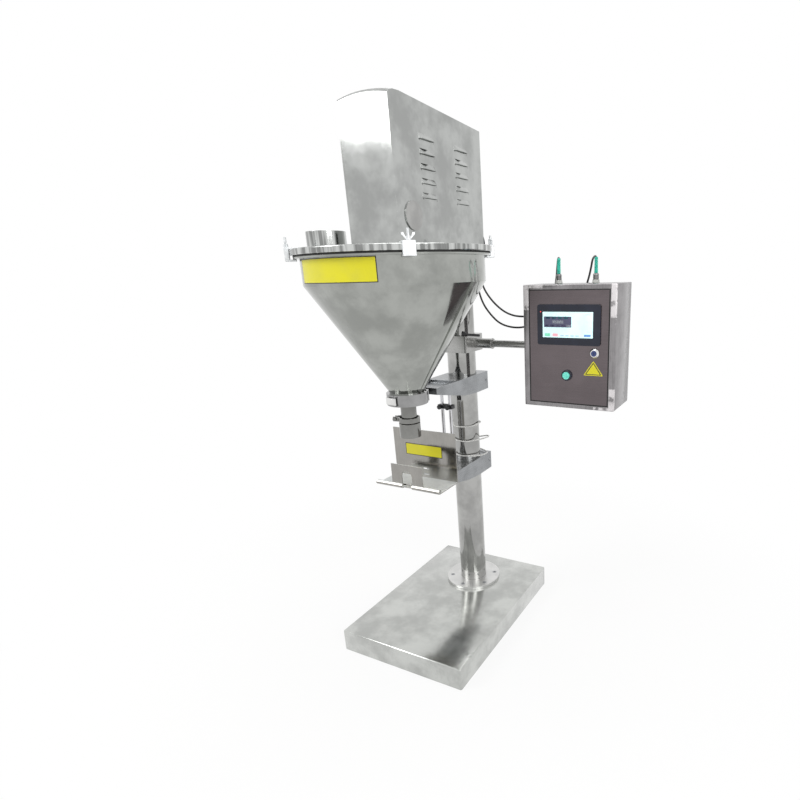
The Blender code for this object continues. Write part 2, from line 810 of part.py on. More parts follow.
def louvre(side, y, z, inset):
    """One pressed louvre: a wedge that dies into the panel at both ends."""
    face = HOOD_HALF
    high, low = z + LOUVRE_HEIGHT / 2 - inset, z - LOUVRE_HEIGHT / 2
    deep = LOUVRE_DEPTH - inset
    root = face - HOOD_SHEET / 2
    if inset:
        low -= OVERRUN
        root = face - HOOD_SHEET - OVERRUN
    half = LOUVRE_LENGTH / 2 - inset
    rings = []
    for along, proud in ((-half, 0), (LOUVRE_TAPER - half, 1), (half - LOUVRE_TAPER, 1), (half, 0)):
        out = face + deep * proud + (GAP if not inset else -GAP)
        rings.append(
            [(side * root, y + along, high), (side * face, y + along, high),
             (side * out, y + along, low + LOUVRE_SHEET), (side * out, y + along, low),
             (side * root, y + along, low)]
        )
    return skin(rings)


def hood(polished):
    shell = cut(hood_form(0.0, HEAD_BOTTOM), hood_form(HOOD_SHEET, HEAD_BOTTOM - OVERRUN))
    spots = [
        (side, y, LOUVRE_TOP_Z - row * LOUVRE_PITCH)
        for side in (-1, 1)
        for y in (LOUVRE_FRONT_Y, LOUVRE_BACK_Y)
        for row in range(LOUVRE_ROWS)
    ]
    shell = joined(shell, gathered([louvre(*spot, 0.0) for spot in spots]))
    shell = cut(shell, gathered([louvre(*spot, LOUVRE_SHEET) for spot in spots]))
    for x in HOOD_CABLE_XS:
        drill = lay_along(rod(CABLE_RADIUS + GAP, (-OVERRUN, OVERRUN), PIN_SEGMENTS), "Y")
        shell = cut(shell, moved(drill, (x, HOOD_BACK_Y, HOOD_CABLE_Z)))
    plug = rod(PLUG_RADIUS, (-HOOD_SHEET / 2, PLUG_FACE), LARGE_SEGMENTS // 2)
    shell = joined(shell, moved(lay_along(plug, "X"), (HOOD_HALF, PLUG_Y, PLUG_Z)))
    place("motor_hood", shell, polished)


def gear_outline(teeth):
    """Trapezoid teeth on a root circle, four points to a tooth."""
    pitch = math.tau / teeth
    radius = GEAR_MODULE * teeth / 2
    tip = radius + GEAR_MODULE * ADDENDUM_SHARE
    root = radius - GEAR_MODULE * DEDENDUM_SHARE
    tooth = (
        (root, -TOOTH_ROOT_SHARE / 2), (tip, -TOOTH_TIP_SHARE / 2),
        (tip, TOOTH_TIP_SHARE / 2), (root, TOOTH_ROOT_SHARE / 2),
    )
    return [
        (r * math.cos(pitch * (i + share)), r * math.sin(pitch * (i + share)))
        for i in range(teeth)
        for r, share in tooth
    ]


def drives(steel, cast, dark):
    axis = (0.0, HOPPER_Y, 0.0)
    bearing = turned(
        [(HUB_RADIUS + GAP, LID_BOTTOM), (BEARING_RADIUS, LID_BOTTOM), (BEARING_RADIUS, HEAD_TOP + GAP),
         (BEARING_FLANGE_RADIUS, HEAD_TOP + GAP), (BEARING_FLANGE_RADIUS, BEARING_TOP),
         (HUB_RADIUS + GAP, BEARING_TOP)],
        LARGE_SEGMENTS,
        axis[:2],
    )
    place("hub_bearing", bearing, steel)

    gear = moved(prism(gear_outline(GEAR_TEETH), (GEAR_BOTTOM, GEAR_TOP)), axis, 90)
    gear = cut(gear, rod(HUB_RADIUS + GAP, (GEAR_BOTTOM - OVERRUN, GEAR_TOP + OVERRUN),
                         LARGE_SEGMENTS, axis[:2]))
    place("agitator_gear", gear, steel, axis)

    half_pitch = 180 / PINION_TEETH
    pinion = moved(
        prism(gear_outline(PINION_TEETH), (GEAR_BOTTOM, GEAR_TOP)),
        (0.0, PINION_Y, 0.0), -90 + half_pitch,
    )
    stem = rod(PINION_SHAFT_RADIUS, (GEAR_BOTTOM - GEAR_LIFT, BRIDGE_TOP), PIN_SEGMENTS,
               (0.0, PINION_Y))
    place("drive_pinion", joined(pinion, stem), steel, (0.0, PINION_Y, 0.0))

    front = HOOD_FRONT_Y + HOOD_SHEET + RUN_GAP
    half = HOOD_INNER_HALF - RUN_GAP
    bridge = block((-half, half), (front, BRIDGE_BACK_Y), (BRIDGE_BOTTOM, BRIDGE_TOP))
    post_x = half - BRIDGE_POST_RADIUS
    post_ys = (front + BRIDGE_POST_RADIUS, BRIDGE_BACK_Y - BRIDGE_POST_RADIUS)
    for x in (-post_x, post_x):
        for y in post_ys:
            post = rod(BRIDGE_POST_RADIUS, (HEAD_TOP + GAP, BRIDGE_BOTTOM + BRIDGE_PLATE / 2),
                       PIN_SEGMENTS, (x, y))
            bridge = joined(bridge, post)
    through = (BRIDGE_BOTTOM - OVERRUN, BRIDGE_TOP + OVERRUN)
    bridge = cut(
        bridge,
        rod(COUPLING_RADIUS + RUN_GAP, through, SMALL_SEGMENTS, axis[:2]),
        rod(PINION_SHAFT_RADIUS + GAP, through, PIN_SEGMENTS, (0.0, PINION_Y)),
    )
    place("motor_bridge", bridge, cast)

    seat = BRIDGE_TOP + GAP
    gearbox_top = seat + SERVO_GEARBOX_HEIGHT
    gearbox = rod(SERVO_SIDE / 2, (seat, gearbox_top), LARGE_SEGMENTS // 2, axis[:2])
    side = SERVO_SIDE / 2
    motor_top = gearbox_top + SERVO_HEIGHT
    servo = block((-side, side), (HOPPER_Y - side, HOPPER_Y + side),
                  (gearbox_top - OVERRUN, motor_top))
    softened(servo, BRIDGE_POST_RADIUS, "Z", 1)
    side = SERVO_CAP_SIDE / 2
    cap = block((-side, side), (HOPPER_Y - side, HOPPER_Y + side),
                (motor_top - OVERRUN, motor_top + SERVO_CAP_HEIGHT))
    place("servo_motor", joined(servo, gearbox, cap), dark)

    side = MIXER_BOX_SIDE / 2
    box_top = seat + MIXER_BOX_HEIGHT
    mixer = block((-side, side), (PINION_Y - side, PINION_Y + side), (seat, box_top))
    softened(mixer, BRIDGE_POST_RADIUS, "Z", 1)
    can = rod(MIXER_MOTOR_RADIUS, (box_top - OVERRUN, box_top + MIXER_MOTOR_HEIGHT),
              LARGE_SEGMENTS // 2, (0.0, PINION_Y))
    place("agitator_motor", joined(mixer, can), cast)

    coupling_bottom = GEAR_TOP + BEARING_FLANGE + GEAR_LIFT
    coupling = turned(
        [(SHAFT_RADIUS + GAP, coupling_bottom), (COUPLING_RADIUS, coupling_bottom),
         (COUPLING_RADIUS, BRIDGE_TOP), (SHAFT_RADIUS + GAP, BRIDGE_TOP)],
        SMALL_SEGMENTS,
        axis[:2],
    )
    place("shaft_coupling", coupling, steel, axis)


def flight(bottom, top):
    """A helical ribbon whose root lies inside the shaft."""
    turns = (top - bottom) / AUGER_PITCH
    steps = round(turns * AUGER_STEPS_PER_TURN)
    root = SHAFT_RADIUS / 2
    rings = []
    for i in range(steps + 1):
        angle = math.tau * turns * i / steps
        z = bottom + (top - bottom) * i / steps
        c, s = math.cos(angle), math.sin(angle)
        rings.append(
            [(r * c, r * s, z + rise)
             for r, rise in ((root, 0.0), (AUGER_RADIUS, 0.0),
                             (AUGER_RADIUS, AUGER_FLIGHT), (root, AUGER_FLIGHT))]
        )
    return skin(rings)


def hopper_outline(inset):
    """Half section of drum and cone from rim to foot, set in by the sheet."""
    slope = math.atan2(HOPPER_RADIUS - CONE_FOOT_RADIUS, CONE_TOP - CONE_FOOT)
    knee = inset * math.tan(slope / 2)
    foot = inset / math.cos(slope)
    return [
        (HOPPER_RADIUS - inset, CONE_TOP + knee),
        (CONE_FOOT_RADIUS - foot, CONE_FOOT),
    ]


def hopper(polished, steel):
    outer_knee, outer_foot = hopper_outline(0.0)
    inner_knee, inner_foot = hopper_outline(HOPPER_SHEET)
    top = HOPPER_TOP
    inner_top = HOPPER_RADIUS - HOPPER_SHEET
    profile = [
        (HOPPER_FLANGE_RADIUS, top), (HOPPER_FLANGE_RADIUS, top - HOPPER_FLANGE),
        (HOPPER_RADIUS, top - HOPPER_FLANGE), outer_knee, outer_foot,
        (CONE_FOOT_RADIUS, OUTLET_TOP), (OUTLET_FLANGE_RADIUS, OUTLET_TOP),
        (OUTLET_FLANGE_RADIUS, OUTLET_BOTTOM), (inner_foot[0], OUTLET_BOTTOM),
        inner_foot, inner_knee, (inner_top, top),
    ]
    shell = turned(profile, LARGE_SEGMENTS, (0.0, HOPPER_Y))
    sunk = HOPPER_SHEET / 2
    seam = [
        (outer_knee[0] - sunk, outer_knee[1]), (outer_knee[0] + SEAM_HEIGHT, outer_knee[1]),
        (outer_foot[0] + SEAM_HEIGHT, outer_foot[1] + SEAM_HEIGHT),
        (outer_foot[0] - sunk, outer_foot[1] + SEAM_HEIGHT),
    ]
    for side in (-1, 1):
        strip = prism([(side * x, z) for x, z in seam], (-SEAM_WIDTH / 2, SEAM_WIDTH / 2), "Y")
        shell = joined(shell, moved(strip, (0.0, HOPPER_Y, 0.0)))
    place("hopper_shell", shell, polished)

    axis = (0.0, HOPPER_Y, 0.0)
    bottom = SLEEVE_BOTTOM - AUGER_TIP
    shaft = stepped(
        [(SHAFT_RADIUS / 2, bottom), (SHAFT_RADIUS, bottom + SHAFT_RADIUS / 2),
         (SHAFT_RADIUS, BRIDGE_TOP - GAP)],
        SMALL_SEGMENTS,
    )
    screw = joined(shaft, flight(SLEEVE_BOTTOM, AUGER_FLIGHT_TOP))
    place("auger_screw", moved(screw, axis), steel, axis)

    agitator(steel, axis)


def agitator(steel, axis):
    high = LID_BOTTOM - AGITATOR_TOP_DROP
    hub = turned(
        [(SHAFT_RADIUS + GAP, high), (HUB_RADIUS, high), (HUB_RADIUS, GEAR_TOP),
         (SHAFT_RADIUS + GAP, GEAR_TOP)],
        LARGE_SEGMENTS // 2,
    )
    ring_top = AGITATOR_FOOT + AGITATOR_RING
    foot_ring = turned(
        [(SHAFT_RADIUS + GAP, AGITATOR_FOOT), (AGITATOR_RING_RADIUS, AGITATOR_FOOT),
         (AGITATOR_RING_RADIUS, ring_top), (SHAFT_RADIUS + GAP, ring_top)],
        SMALL_SEGMENTS,
    )
    frame = gathered([hub, foot_ring])
    slope = (HOPPER_RADIUS - CONE_FOOT_RADIUS) / (CONE_TOP - CONE_FOOT)
    far = HOPPER_RADIUS - HOPPER_SHEET - AGITATOR_WALL_GAP
    near = CONE_FOOT_RADIUS + slope * (ring_top - CONE_FOOT) - HOPPER_SHEET - 2 * AGITATOR_WALL_GAP
    mid = (SHAFT_RADIUS + AGITATOR_RING_RADIUS) / 2
    bar = AGITATOR_BAR
    outline = [
        (HUB_RADIUS - bar / 2, high + bar), (far, high + bar), (far, CONE_TOP),
        (near, AGITATOR_FOOT), (mid, AGITATOR_FOOT),
        (mid, AGITATOR_FOOT + bar), (near - bar / 2, AGITATOR_FOOT + bar),
        (far - bar, CONE_TOP + bar / 2), (far - bar, high), (HUB_RADIUS - bar / 2, high),
    ]
    for side in (-1, 1):
        blade = prism([(side * x, z) for x, z in outline],
                      (-AGITATOR_WIDTH / 2, AGITATOR_WIDTH / 2), "Y")
        frame = joined(frame, blade)
    place("agitator_frame", moved(frame, axis), steel, axis)


def wing_screw():
    """A stud with a winged head, along +Z from its seat."""
    stud = stepped(
        [(WING_HUB_RADIUS, 0.0), (WING_HUB_RADIUS, WING_HUB_HEIGHT),
         (WING_STUD_RADIUS, WING_HUB_HEIGHT), (WING_STUD_RADIUS, WING_STUD_HEIGHT)],
        PIN_SEGMENTS,
    )
    reach = WING_SPAN / 2
    wings = [
        (0.0, WING_HUB_HEIGHT / 4), (WING_HUB_RADIUS, WING_HUB_HEIGHT / 4),
        (reach, WING_HEIGHT * 3 / 4), (reach, WING_HEIGHT), (reach * 2 / 3, WING_HEIGHT),
        (WING_HUB_RADIUS, WING_HUB_HEIGHT * 3 / 4), (0.0, WING_HUB_HEIGHT * 3 / 4),
    ]
    mirrored = [(-x, z) for x, z in reversed(wings[1:-1])]
    plate = prism(wings + mirrored, (-WING_THICKNESS / 2, WING_THICKNESS / 2), "Y")
    return joined(stud, plate)


def lid_clamps(steel, chrome):
    """Four hooks that pull the hopper's rim up against the lid."""
    inner = LID_RADIUS + RUN_GAP
    outer = inner + CLAMP_LEG
    top = LID_TOP + GAP + CLAMP_PLATE
    under = HOPPER_TOP - HOPPER_FLANGE - GAP
    hook = [
        (outer - CLAMP_REACH - CLAMP_LEG, LID_TOP + GAP), (inner, LID_TOP + GAP), (inner, under),
        (HOPPER_FLANGE_RADIUS - CLAMP_HOOK, under),
        (HOPPER_FLANGE_RADIUS - CLAMP_HOOK, under - CLAMP_PLATE), (outer, under - CLAMP_PLATE),
        (outer, top), (outer - CLAMP_REACH - CLAMP_LEG, top),
    ]
    seat = (inner + outer) / 2
    for number, bearing in enumerate(CLAMP_BEARINGS, 1):
        solid = prism(hook, (-CLAMP_WIDTH / 2, CLAMP_WIDTH / 2), "Y")
        place(f"lid_clamp_{number}", moved(solid, (0.0, HOPPER_Y, 0.0), bearing), steel)
        spot = (*polar(seat, bearing, HOPPER_Y), top + GAP)
        screw = moved(wing_screw(), spot, bearing + 90)
        place(f"lid_wing_screw_{number}", screw, chrome, spot)


def outlet(polished, steel, chrome):
    axis = (0.0, HOPPER_Y)
    inner = OUTLET_FLANGE_RADIUS + GAP
    lip = CONE_FOOT_RADIUS + GAP
    low_lip = NECK_SHOULDER_RADIUS + GAP
    channel = [
        (low_lip, BAND_BOTTOM), (BAND_RADIUS, BAND_BOTTOM), (BAND_RADIUS, BAND_TOP), (lip, BAND_TOP),
        (lip, BAND_TOP - BAND_LIP), (inner, BAND_TOP - BAND_LIP), (inner, BAND_BOTTOM + BAND_LIP),
        (low_lip, BAND_BOTTOM + BAND_LIP),
    ]
    plain = [(inner, BAND_BOTTOM), (BAND_RADIUS, BAND_BOTTOM), (BAND_RADIUS, BAND_TOP),
             (inner, BAND_TOP)]
    pin_circle = inner + BAND_HINGE_RADIUS
    pin = (*polar(pin_circle, BAND_HINGE_BEARING, HOPPER_Y), 0.0)
    margin = math.degrees((BAND_HINGE_RADIUS + RUN_GAP) / pin_circle)
    knuckle = (BAND_TOP - BAND_BOTTOM) / 3
    steps = BAND_STEPS
    clear = BAND_HINGE_RADIUS + RUN_GAP

    # The fixed half runs from the hinge round the back to the latch.
    start = BAND_HINGE_BEARING + margin
    rear = turned(channel, steps * 2, axis, start,
                  BAND_LATCH_BEARING + 360 - RUN_GAP / BAND_RADIUS - start)
    middle = (BAND_BOTTOM + knuckle + GAP, BAND_TOP - knuckle - GAP)
    arm = block((-OVERRUN, OVERRUN * 2), (-LATCH_PLATE / 2, LATCH_PLATE / 2), middle)
    moved(arm, (*polar(inner + LATCH_PLATE / 2, BAND_HINGE_BEARING + margin, HOPPER_Y), 0.0),
          BAND_HINGE_BEARING - 90)
    rear = joined(rear, moved(rod(BAND_HINGE_RADIUS, middle, PIN_SEGMENTS), pin))
    rear = joined(rear, arm)
    rear = cut(rear, moved(rod(BAND_PIN_RADIUS + GAP, (BAND_BOTTOM, BAND_TOP), PIN_SEGMENTS), pin))
    saddle_back = UPPER_NOSE_Y - GAP
    saddle_z = UPPER_BRACKET_TOP - BRACKET_NOSE_HEIGHT
    saddle = block((-SADDLE_WIDTH / 2, SADDLE_WIDTH / 2),
                   (HOPPER_Y + inner + GAP, saddle_back),
                   (saddle_z, saddle_z + SADDLE_HEIGHT))
    place("collar_band_rear", joined(rear, saddle), polished)

    # The front half swings out on the hinge pin, so its arms stop at the pin's centre.
    end = BAND_HINGE_BEARING - margin
    hinge_reach = (inner + LATCH_PLATE / 2) * math.sin(math.radians(margin))
    begin = BAND_LATCH_BEARING + math.degrees(RUN_GAP / BAND_RADIUS)
    front = turned(channel, steps, axis, begin, BAND_LIP_END_BEARING - begin)
    tail_begin = BAND_LIP_END_BEARING - math.degrees(RUN_GAP / BAND_RADIUS)
    front = joined(front, turned(plain, steps // 2, axis, tail_begin, end - tail_begin))
    for ends in ((BAND_BOTTOM, BAND_BOTTOM + knuckle), (BAND_TOP - knuckle, BAND_TOP)):
        arm = block((-hinge_reach, OVERRUN), (-LATCH_PLATE / 2, LATCH_PLATE / 2), ends)
        moved(arm, (*polar(inner + LATCH_PLATE / 2, BAND_HINGE_BEARING - margin, HOPPER_Y), 0.0),
              BAND_HINGE_BEARING - 90)
        front = joined(front, moved(rod(BAND_HINGE_RADIUS, ends, PIN_SEGMENTS), pin))
        front = joined(front, arm)
    middle_z = (BAND_TOP + BAND_BOTTOM) / 2
    front = cut(
        front,
        moved(rod(clear, (BAND_BOTTOM + knuckle, BAND_TOP - knuckle), PIN_SEGMENTS), pin),
    )
    front = joined(front, moved(rod(BAND_PIN_RADIUS, (BAND_BOTTOM + knuckle / 2,
                                                      BAND_TOP - knuckle / 2), PIN_SEGMENTS), pin))
    latch_pin_circle = BAND_RADIUS + LATCH_STANDOFF + LATCH_PIVOT_RADIUS
    latch_at = BAND_LATCH_BEARING + math.degrees(3 * LATCH_PIVOT_RADIUS / BAND_RADIUS)
    latch_pin = (*polar(latch_pin_circle, latch_at, HOPPER_Y), 0.0)
    ear = LATCH_HEIGHT / 2 + GAP
    for z in (middle_z - ear - LATCH_PLATE, middle_z + ear):
        lug = block((0.0, latch_pin_circle - inner + LATCH_PIVOT_RADIUS),
                    (-LATCH_PIVOT_RADIUS, LATCH_PIVOT_RADIUS), (z, z + LATCH_PLATE))
        moved(lug, (*polar(inner + GAP, latch_at, HOPPER_Y), 0.0), latch_at)
        front = joined(front, lug)
    place("collar_band_front", front, polished, pin)

    # The toggle latch lies over the joint of the two halves.
    low, high = middle_z - LATCH_HEIGHT / 2, middle_z + LATCH_HEIGHT / 2
    near = BAND_RADIUS + LATCH_STANDOFF
    far = near + LATCH_PLATE
    lever = turned([(near, low), (far, low), (far, high), (near, high)], steps // 2, axis,
                   latch_at - LATCH_SWEEP, LATCH_SWEEP)
    lever = joined(lever, moved(rod(LATCH_PIVOT_RADIUS, (low, high), PIN_SEGMENTS), latch_pin))
    place("collar_latch", lever, chrome, latch_pin)

    neck(polished, axis)
    nozzle(polished, steel, chrome, axis)


def neck(polished, axis):
    top = OUTLET_BOTTOM - GAP
    bore = NECK_RADIUS - NECK_WALL
    shoulder = BAND_BOTTOM + BAND_LIP + GAP
    ferrule = FERRULE_JOINT + GAP
    profile = [
        (NECK_THROAT_RADIUS, top), (OUTLET_FLANGE_RADIUS, top), (OUTLET_FLANGE_RADIUS, shoulder),
        (NECK_SHOULDER_RADIUS, shoulder), (NECK_SHOULDER_RADIUS, BAND_BOTTOM),
        (NECK_RADIUS, BAND_BOTTOM), (NECK_RADIUS, ferrule + FERRULE),
        (FERRULE_RADIUS, ferrule + FERRULE / 2), (FERRULE_RADIUS, ferrule), (bore, ferrule),
        (bore, BAND_BOTTOM),
    ]
    place("outlet_neck", turned(profile, LARGE_SEGMENTS // 2, axis), polished)


def nozzle(polished, steel, chrome, axis):
    bore = NECK_RADIUS - NECK_WALL
    top = FERRULE_JOINT
    shoulder = top - FERRULE - SLEEVE_SHOULDER
    inside = SLEEVE_RADIUS - SLEEVE_WALL
    profile = [
        (bore, top), (FERRULE_RADIUS, top), (FERRULE_RADIUS, top - FERRULE / 2),
        (NECK_RADIUS, top - FERRULE), (SLEEVE_RADIUS, shoulder), (SLEEVE_RADIUS, SLEEVE_BOTTOM),
        (inside, SLEEVE_BOTTOM), (inside, shoulder - SLEEVE_WALL),
        (NECK_RADIUS, shoulder - SLEEVE_WALL), (NECK_RADIUS, SLEEVE_BOTTOM - NOZZLE_TIP),
        (bore, SLEEVE_BOTTOM - NOZZLE_TIP),
    ]
    place("nozzle_sleeve", turned(profile, LARGE_SEGMENTS // 2, axis), polished)

    low = top - NOZZLE_CLAMP_HEIGHT / 2
    high = low + NOZZLE_CLAMP_HEIGHT
    inner = FERRULE_RADIUS + GAP
    outer = inner + NOZZLE_CLAMP_WALL
    slot = math.degrees(NOZZLE_EAR_GAP / 2 / inner)
    ring = turned(
        [(inner, low), (outer, low), (outer, high), (inner, high)], LARGE_SEGMENTS // 2, axis,
        NOZZLE_CLAMP_BEARING + slot, 360 - 2 * slot,
    )
    reach = outer + NOZZLE_EAR_LENGTH
    bolt_at = outer + NOZZLE_EAR_LENGTH * 2 / 3
    for side in (-1, 1):
        edge = side * NOZZLE_EAR_GAP / 2
        ear = block((inner + GAP, reach), sorted((edge, edge + side * NOZZLE_EAR_THICKNESS)),
                    (low, high))
        drill = lay_along(rod(WING_STUD_RADIUS + GAP, (-OVERRUN, OVERRUN), PIN_SEGMENTS), "Y")
        moved(drill, (bolt_at, edge + side * NOZZLE_EAR_THICKNESS / 2, (low + high) / 2))
        ear = moved(cut(ear, drill), (0.0, HOPPER_Y, 0.0), NOZZLE_CLAMP_BEARING)
        ring = joined(ring, ear)
    place("nozzle_clamp", ring, steel)

    seat = NOZZLE_EAR_GAP / 2 + NOZZLE_EAR_THICKNESS + GAP
    stud = rod(WING_STUD_RADIUS, (-2 * seat, OVERRUN), PIN_SEGMENTS)
    head = rod(WING_HUB_RADIUS, (-2 * seat - WING_STUD_RADIUS, -2 * seat), PIN_SEGMENTS)
    screw = joined(wing_screw(), stud, head)
    screw = moved(lay_along(screw, "-Y"), (bolt_at, -seat, (low + high) / 2))
    moved(screw, (0.0, HOPPER_Y, 0.0), NOZZLE_CLAMP_BEARING)
    place("nozzle_wing_screw", screw, chrome,
          (*polar(bolt_at, NOZZLE_CLAMP_BEARING, HOPPER_Y), (low + high) / 2))


def bracket_shell(top, nose_y):
    """A channel folded over the column, open below, its sides cut away to the nose."""
    knee = BRACKET_BEND_Y + (nose_y - BRACKET_BEND_Y) * BRACKET_KNEE_SHARE
    drop = BRACKET_HEIGHT - BRACKET_NOSE_HEIGHT
    side = [
        (nose_y, top), (nose_y, top - BRACKET_NOSE_HEIGHT),
        (knee, top - BRACKET_HEIGHT + drop * BRACKET_KNEE_SHARE / 2),
        (BRACKET_BEND_Y, top - BRACKET_HEIGHT), (BRACKET_BACK_Y, top - BRACKET_HEIGHT),
        (BRACKET_BACK_Y, top),
    ]
    shell = prism(side, (-BRACKET_HALF, BRACKET_HALF), "X")
    hole = rod(COLUMN_RADIUS + GAP, (top - BRACKET_HEIGHT - OVERRUN, top + OVERRUN),
               COLUMN_SEGMENTS, (0.0, COLUMN_Y))
    return cut(shell, hole)


def bracket_bolt_holes(top):
    """Access holes in both sides for the clamp block's bolts."""
    y = BRACKET_BACK_Y - BRACKET_BOLT_SETBACK
    z = top - BRACKET_HEIGHT / 2
    drill = rod(BRACKET_BOLT_RADIUS, (-BRACKET_HALF - OVERRUN, BRACKET_HALF + OVERRUN), PIN_SEGMENTS)
    return moved(lay_along(drill, "X"), (0.0, y, z))


def clamp_block(top):
    """A split block that grips the column inside its bracket."""
    half = BRACKET_INNER_HALF - GAP
    back = BRACKET_BACK_Y - BRACKET_SHEET - GAP
    high = top - BRACKET_SHEET - GAP
    body = block((-half, half), (CLAMP_BLOCK_FRONT_Y, back), (high - CLAMP_BLOCK_HEIGHT, high))
    through = (high - CLAMP_BLOCK_HEIGHT - OVERRUN, high + OVERRUN)
    return cut(
        body,
        rod(COLUMN_RADIUS + GAP, through, COLUMN_SEGMENTS, (0.0, COLUMN_Y)),
        block((-CLAMP_BLOCK_SLIT / 2, CLAMP_BLOCK_SLIT / 2), (COLUMN_Y, back + OVERRUN), through),
        bracket_bolt_holes(top),
    )


def brackets(steel, dark, aluminium):
    inner = BRACKET_INNER_HALF
    back = BRACKET_BACK_Y - BRACKET_SHEET

    top = UPPER_BRACKET_TOP
    pocket_floor = top - UPPER_POCKET_DEPTH
    low = top - BRACKET_HEIGHT - OVERRUN
    shell = bracket_shell(top, UPPER_NOSE_Y)
    front = UPPER_NOSE_Y + BRACKET_SHEET
    shell = cut(
        shell,
        block((-inner, inner), (UPPER_POCKET_Y, back), (low, top - BRACKET_SHEET)),
        block((-inner, inner), (front, UPPER_POCKET_Y + OVERRUN),
              (low, pocket_floor - BRACKET_SHEET)),
        block((-inner, inner), (front, UPPER_POCKET_Y - BRACKET_SHEET),
              (pocket_floor, top + OVERRUN)),
        bracket_bolt_holes(top),
    )
    place("upper_bracket", shell, steel)
    place("upper_clamp_block", clamp_block(top), dark)

    top = LOWER_BRACKET_TOP
    low = top - BRACKET_HEIGHT - OVERRUN
    shell = cut(
        bracket_shell(top, LOWER_NOSE_Y),
        block((-inner, inner), (LOWER_NOSE_Y - OVERRUN, back), (low, top - BRACKET_SHEET)),
        bracket_bolt_holes(top),
    )
    place("lower_bracket", shell, steel)
    place("lower_clamp_block", clamp_block(top), dark)

    high = top - BRACKET_SHEET - RUN_GAP
    middle = (LOWER_NOSE_Y + CLAMP_BLOCK_FRONT_Y) / 2
    cell = block((-LOAD_CELL_WIDTH / 2, LOAD_CELL_WIDTH / 2),
                 (LOAD_CELL_Y, CLAMP_BLOCK_FRONT_Y - GAP), (high - LOAD_CELL_HEIGHT, high))
    for shift in (-LOAD_CELL_HOLE_PITCH / 2, LOAD_CELL_HOLE_PITCH / 2):
        reach = LOAD_CELL_WIDTH / 2 + OVERRUN
        drill = lay_along(rod(LOAD_CELL_HOLE_RADIUS, (-reach, reach), PIN_SEGMENTS), "X")
        cell = cut(cell, moved(drill, (0.0, middle + shift, high - LOAD_CELL_HEIGHT / 2)))
    place("load_cell", cell, aluminium)


def tray(steel):
    """Back plate, shelf and rolled lip in one sheet, with the slotted upstand welded on."""
    sheet, radius = TRAY_SHEET, TRAY_LIP_RADIUS
    back = TRAY_Y + sheet
    under = TRAY_FLOOR - sheet
    centre = (TRAY_FRONT_Y + radius, under + radius)
    outline = [
        (TRAY_Y, TRAY_TOP), (back, TRAY_TOP), (back, under),
        *arc(centre, radius, 270, TRAY_LIP_END, TRAY_LIP_STEPS),
        *arc(centre, radius - sheet, TRAY_LIP_END, 270, TRAY_LIP_STEPS),
        (TRAY_Y, TRAY_FLOOR),
    ]
    half = TRAY_WIDTH / 2
    plate = prism(outline, (-half, half), "X")
    tongue = block((-TRAY_TONGUE_WIDTH / 2, TRAY_TONGUE_WIDTH / 2), (TRAY_Y, back),
                   (TRAY_TONGUE_FOOT, TRAY_FLOOR + sheet))
    plate = joined(plate, tongue)
    for z in TRAY_SLOT_HEIGHTS:
        slot = block((-TRAY_SLOT_WIDTH / 2, TRAY_SLOT_WIDTH / 2),
                     (TRAY_Y - OVERRUN, TRAY_Y + sheet + OVERRUN),
                     (z - TRAY_SLOT_HEIGHT / 2, z + TRAY_SLOT_HEIGHT / 2))
        plate = cut(plate, slot)
    upstand = UPSTAND_WIDTH / 2
    front = TRAY_FRONT_Y + radius - sheet / 2
    roll_top = under + radius * 2
    sunk = roll_top - sheet / 2
    rim = [
        (upstand + UPSTAND_FILLET, sunk),
        *arc((upstand + UPSTAND_FILLET, roll_top + UPSTAND_FILLET), UPSTAND_FILLET, 270, 180,
             UPSTAND_ARCH_STEPS // 2),
        (upstand, UPSTAND_TOP), (0.0, UPSTAND_TOP), (0.0, sunk),
    ]
    for side in (-1, 1):
        plate = joined(plate, prism([(side * x, z) for x, z in rim], (front, front + sheet), "Y"))
    slot = UPSTAND_SLOT_WIDTH / 2
    arch = [
        (-slot, TRAY_FLOOR - radius * 2),
        *arc((0.0, UPSTAND_SLOT_TOP - slot), slot, 180, 0, UPSTAND_ARCH_STEPS),
        (slot, TRAY_FLOOR - radius * 2),
    ]
    throat = prism(arch, (TRAY_FRONT_Y - OVERRUN, front + sheet + OVERRUN), "Y")
    place("tray", cut(plate, throat), steel)


def guide_rods(steel, black):
    centres = [(side * ROD_SPREAD / 2, ROD_Y) for side in (-1, 1)]
    ends = (LOWER_BRACKET_TOP + GAP, UPPER_BRACKET_TOP - BRACKET_SHEET - GAP)
    for side, centre in zip(("left", "right"), centres):
        place(f"guide_rod_{side}", rod(ROD_RADIUS, ends, PIN_SEGMENTS, centre), steel)

    z = (ROD_CLAMP_Z - ROD_CLAMP_HEIGHT / 2, ROD_CLAMP_Z + ROD_CLAMP_HEIGHT / 2)
    front = ROD_Y - ROD_CLAMP_DEPTH / 2
    bar = block((-ROD_CLAMP_WIDTH / 2, ROD_CLAMP_WIDTH / 2), (front, front + ROD_CLAMP_DEPTH), z)
    through = (z[0] - OVERRUN, z[1] + OVERRUN)
    for centre in centres:
        bar = cut(bar, rod(ROD_RADIUS + GAP, through, PIN_SEGMENTS, centre))
    origin = (0.0, ROD_Y, ROD_CLAMP_Z)
    slider = place("rod_clamp", bar, black, origin)
    for name, (x, _) in zip(("left", "right"), centres):
        knob = stepped(
            [(KNOB_STEM_RADIUS, GAP), (KNOB_STEM_RADIUS, KNOB_LENGTH / 4),
             (KNOB_RADIUS, KNOB_LENGTH / 4), (KNOB_RADIUS, KNOB_LENGTH)],
            PIN_SEGMENTS,
        )
        spot = (x, front, ROD_CLAMP_Z)
        place(f"rod_knob_{name}", moved(lay_along(knob, "-Y"), spot), black, spot, slider)


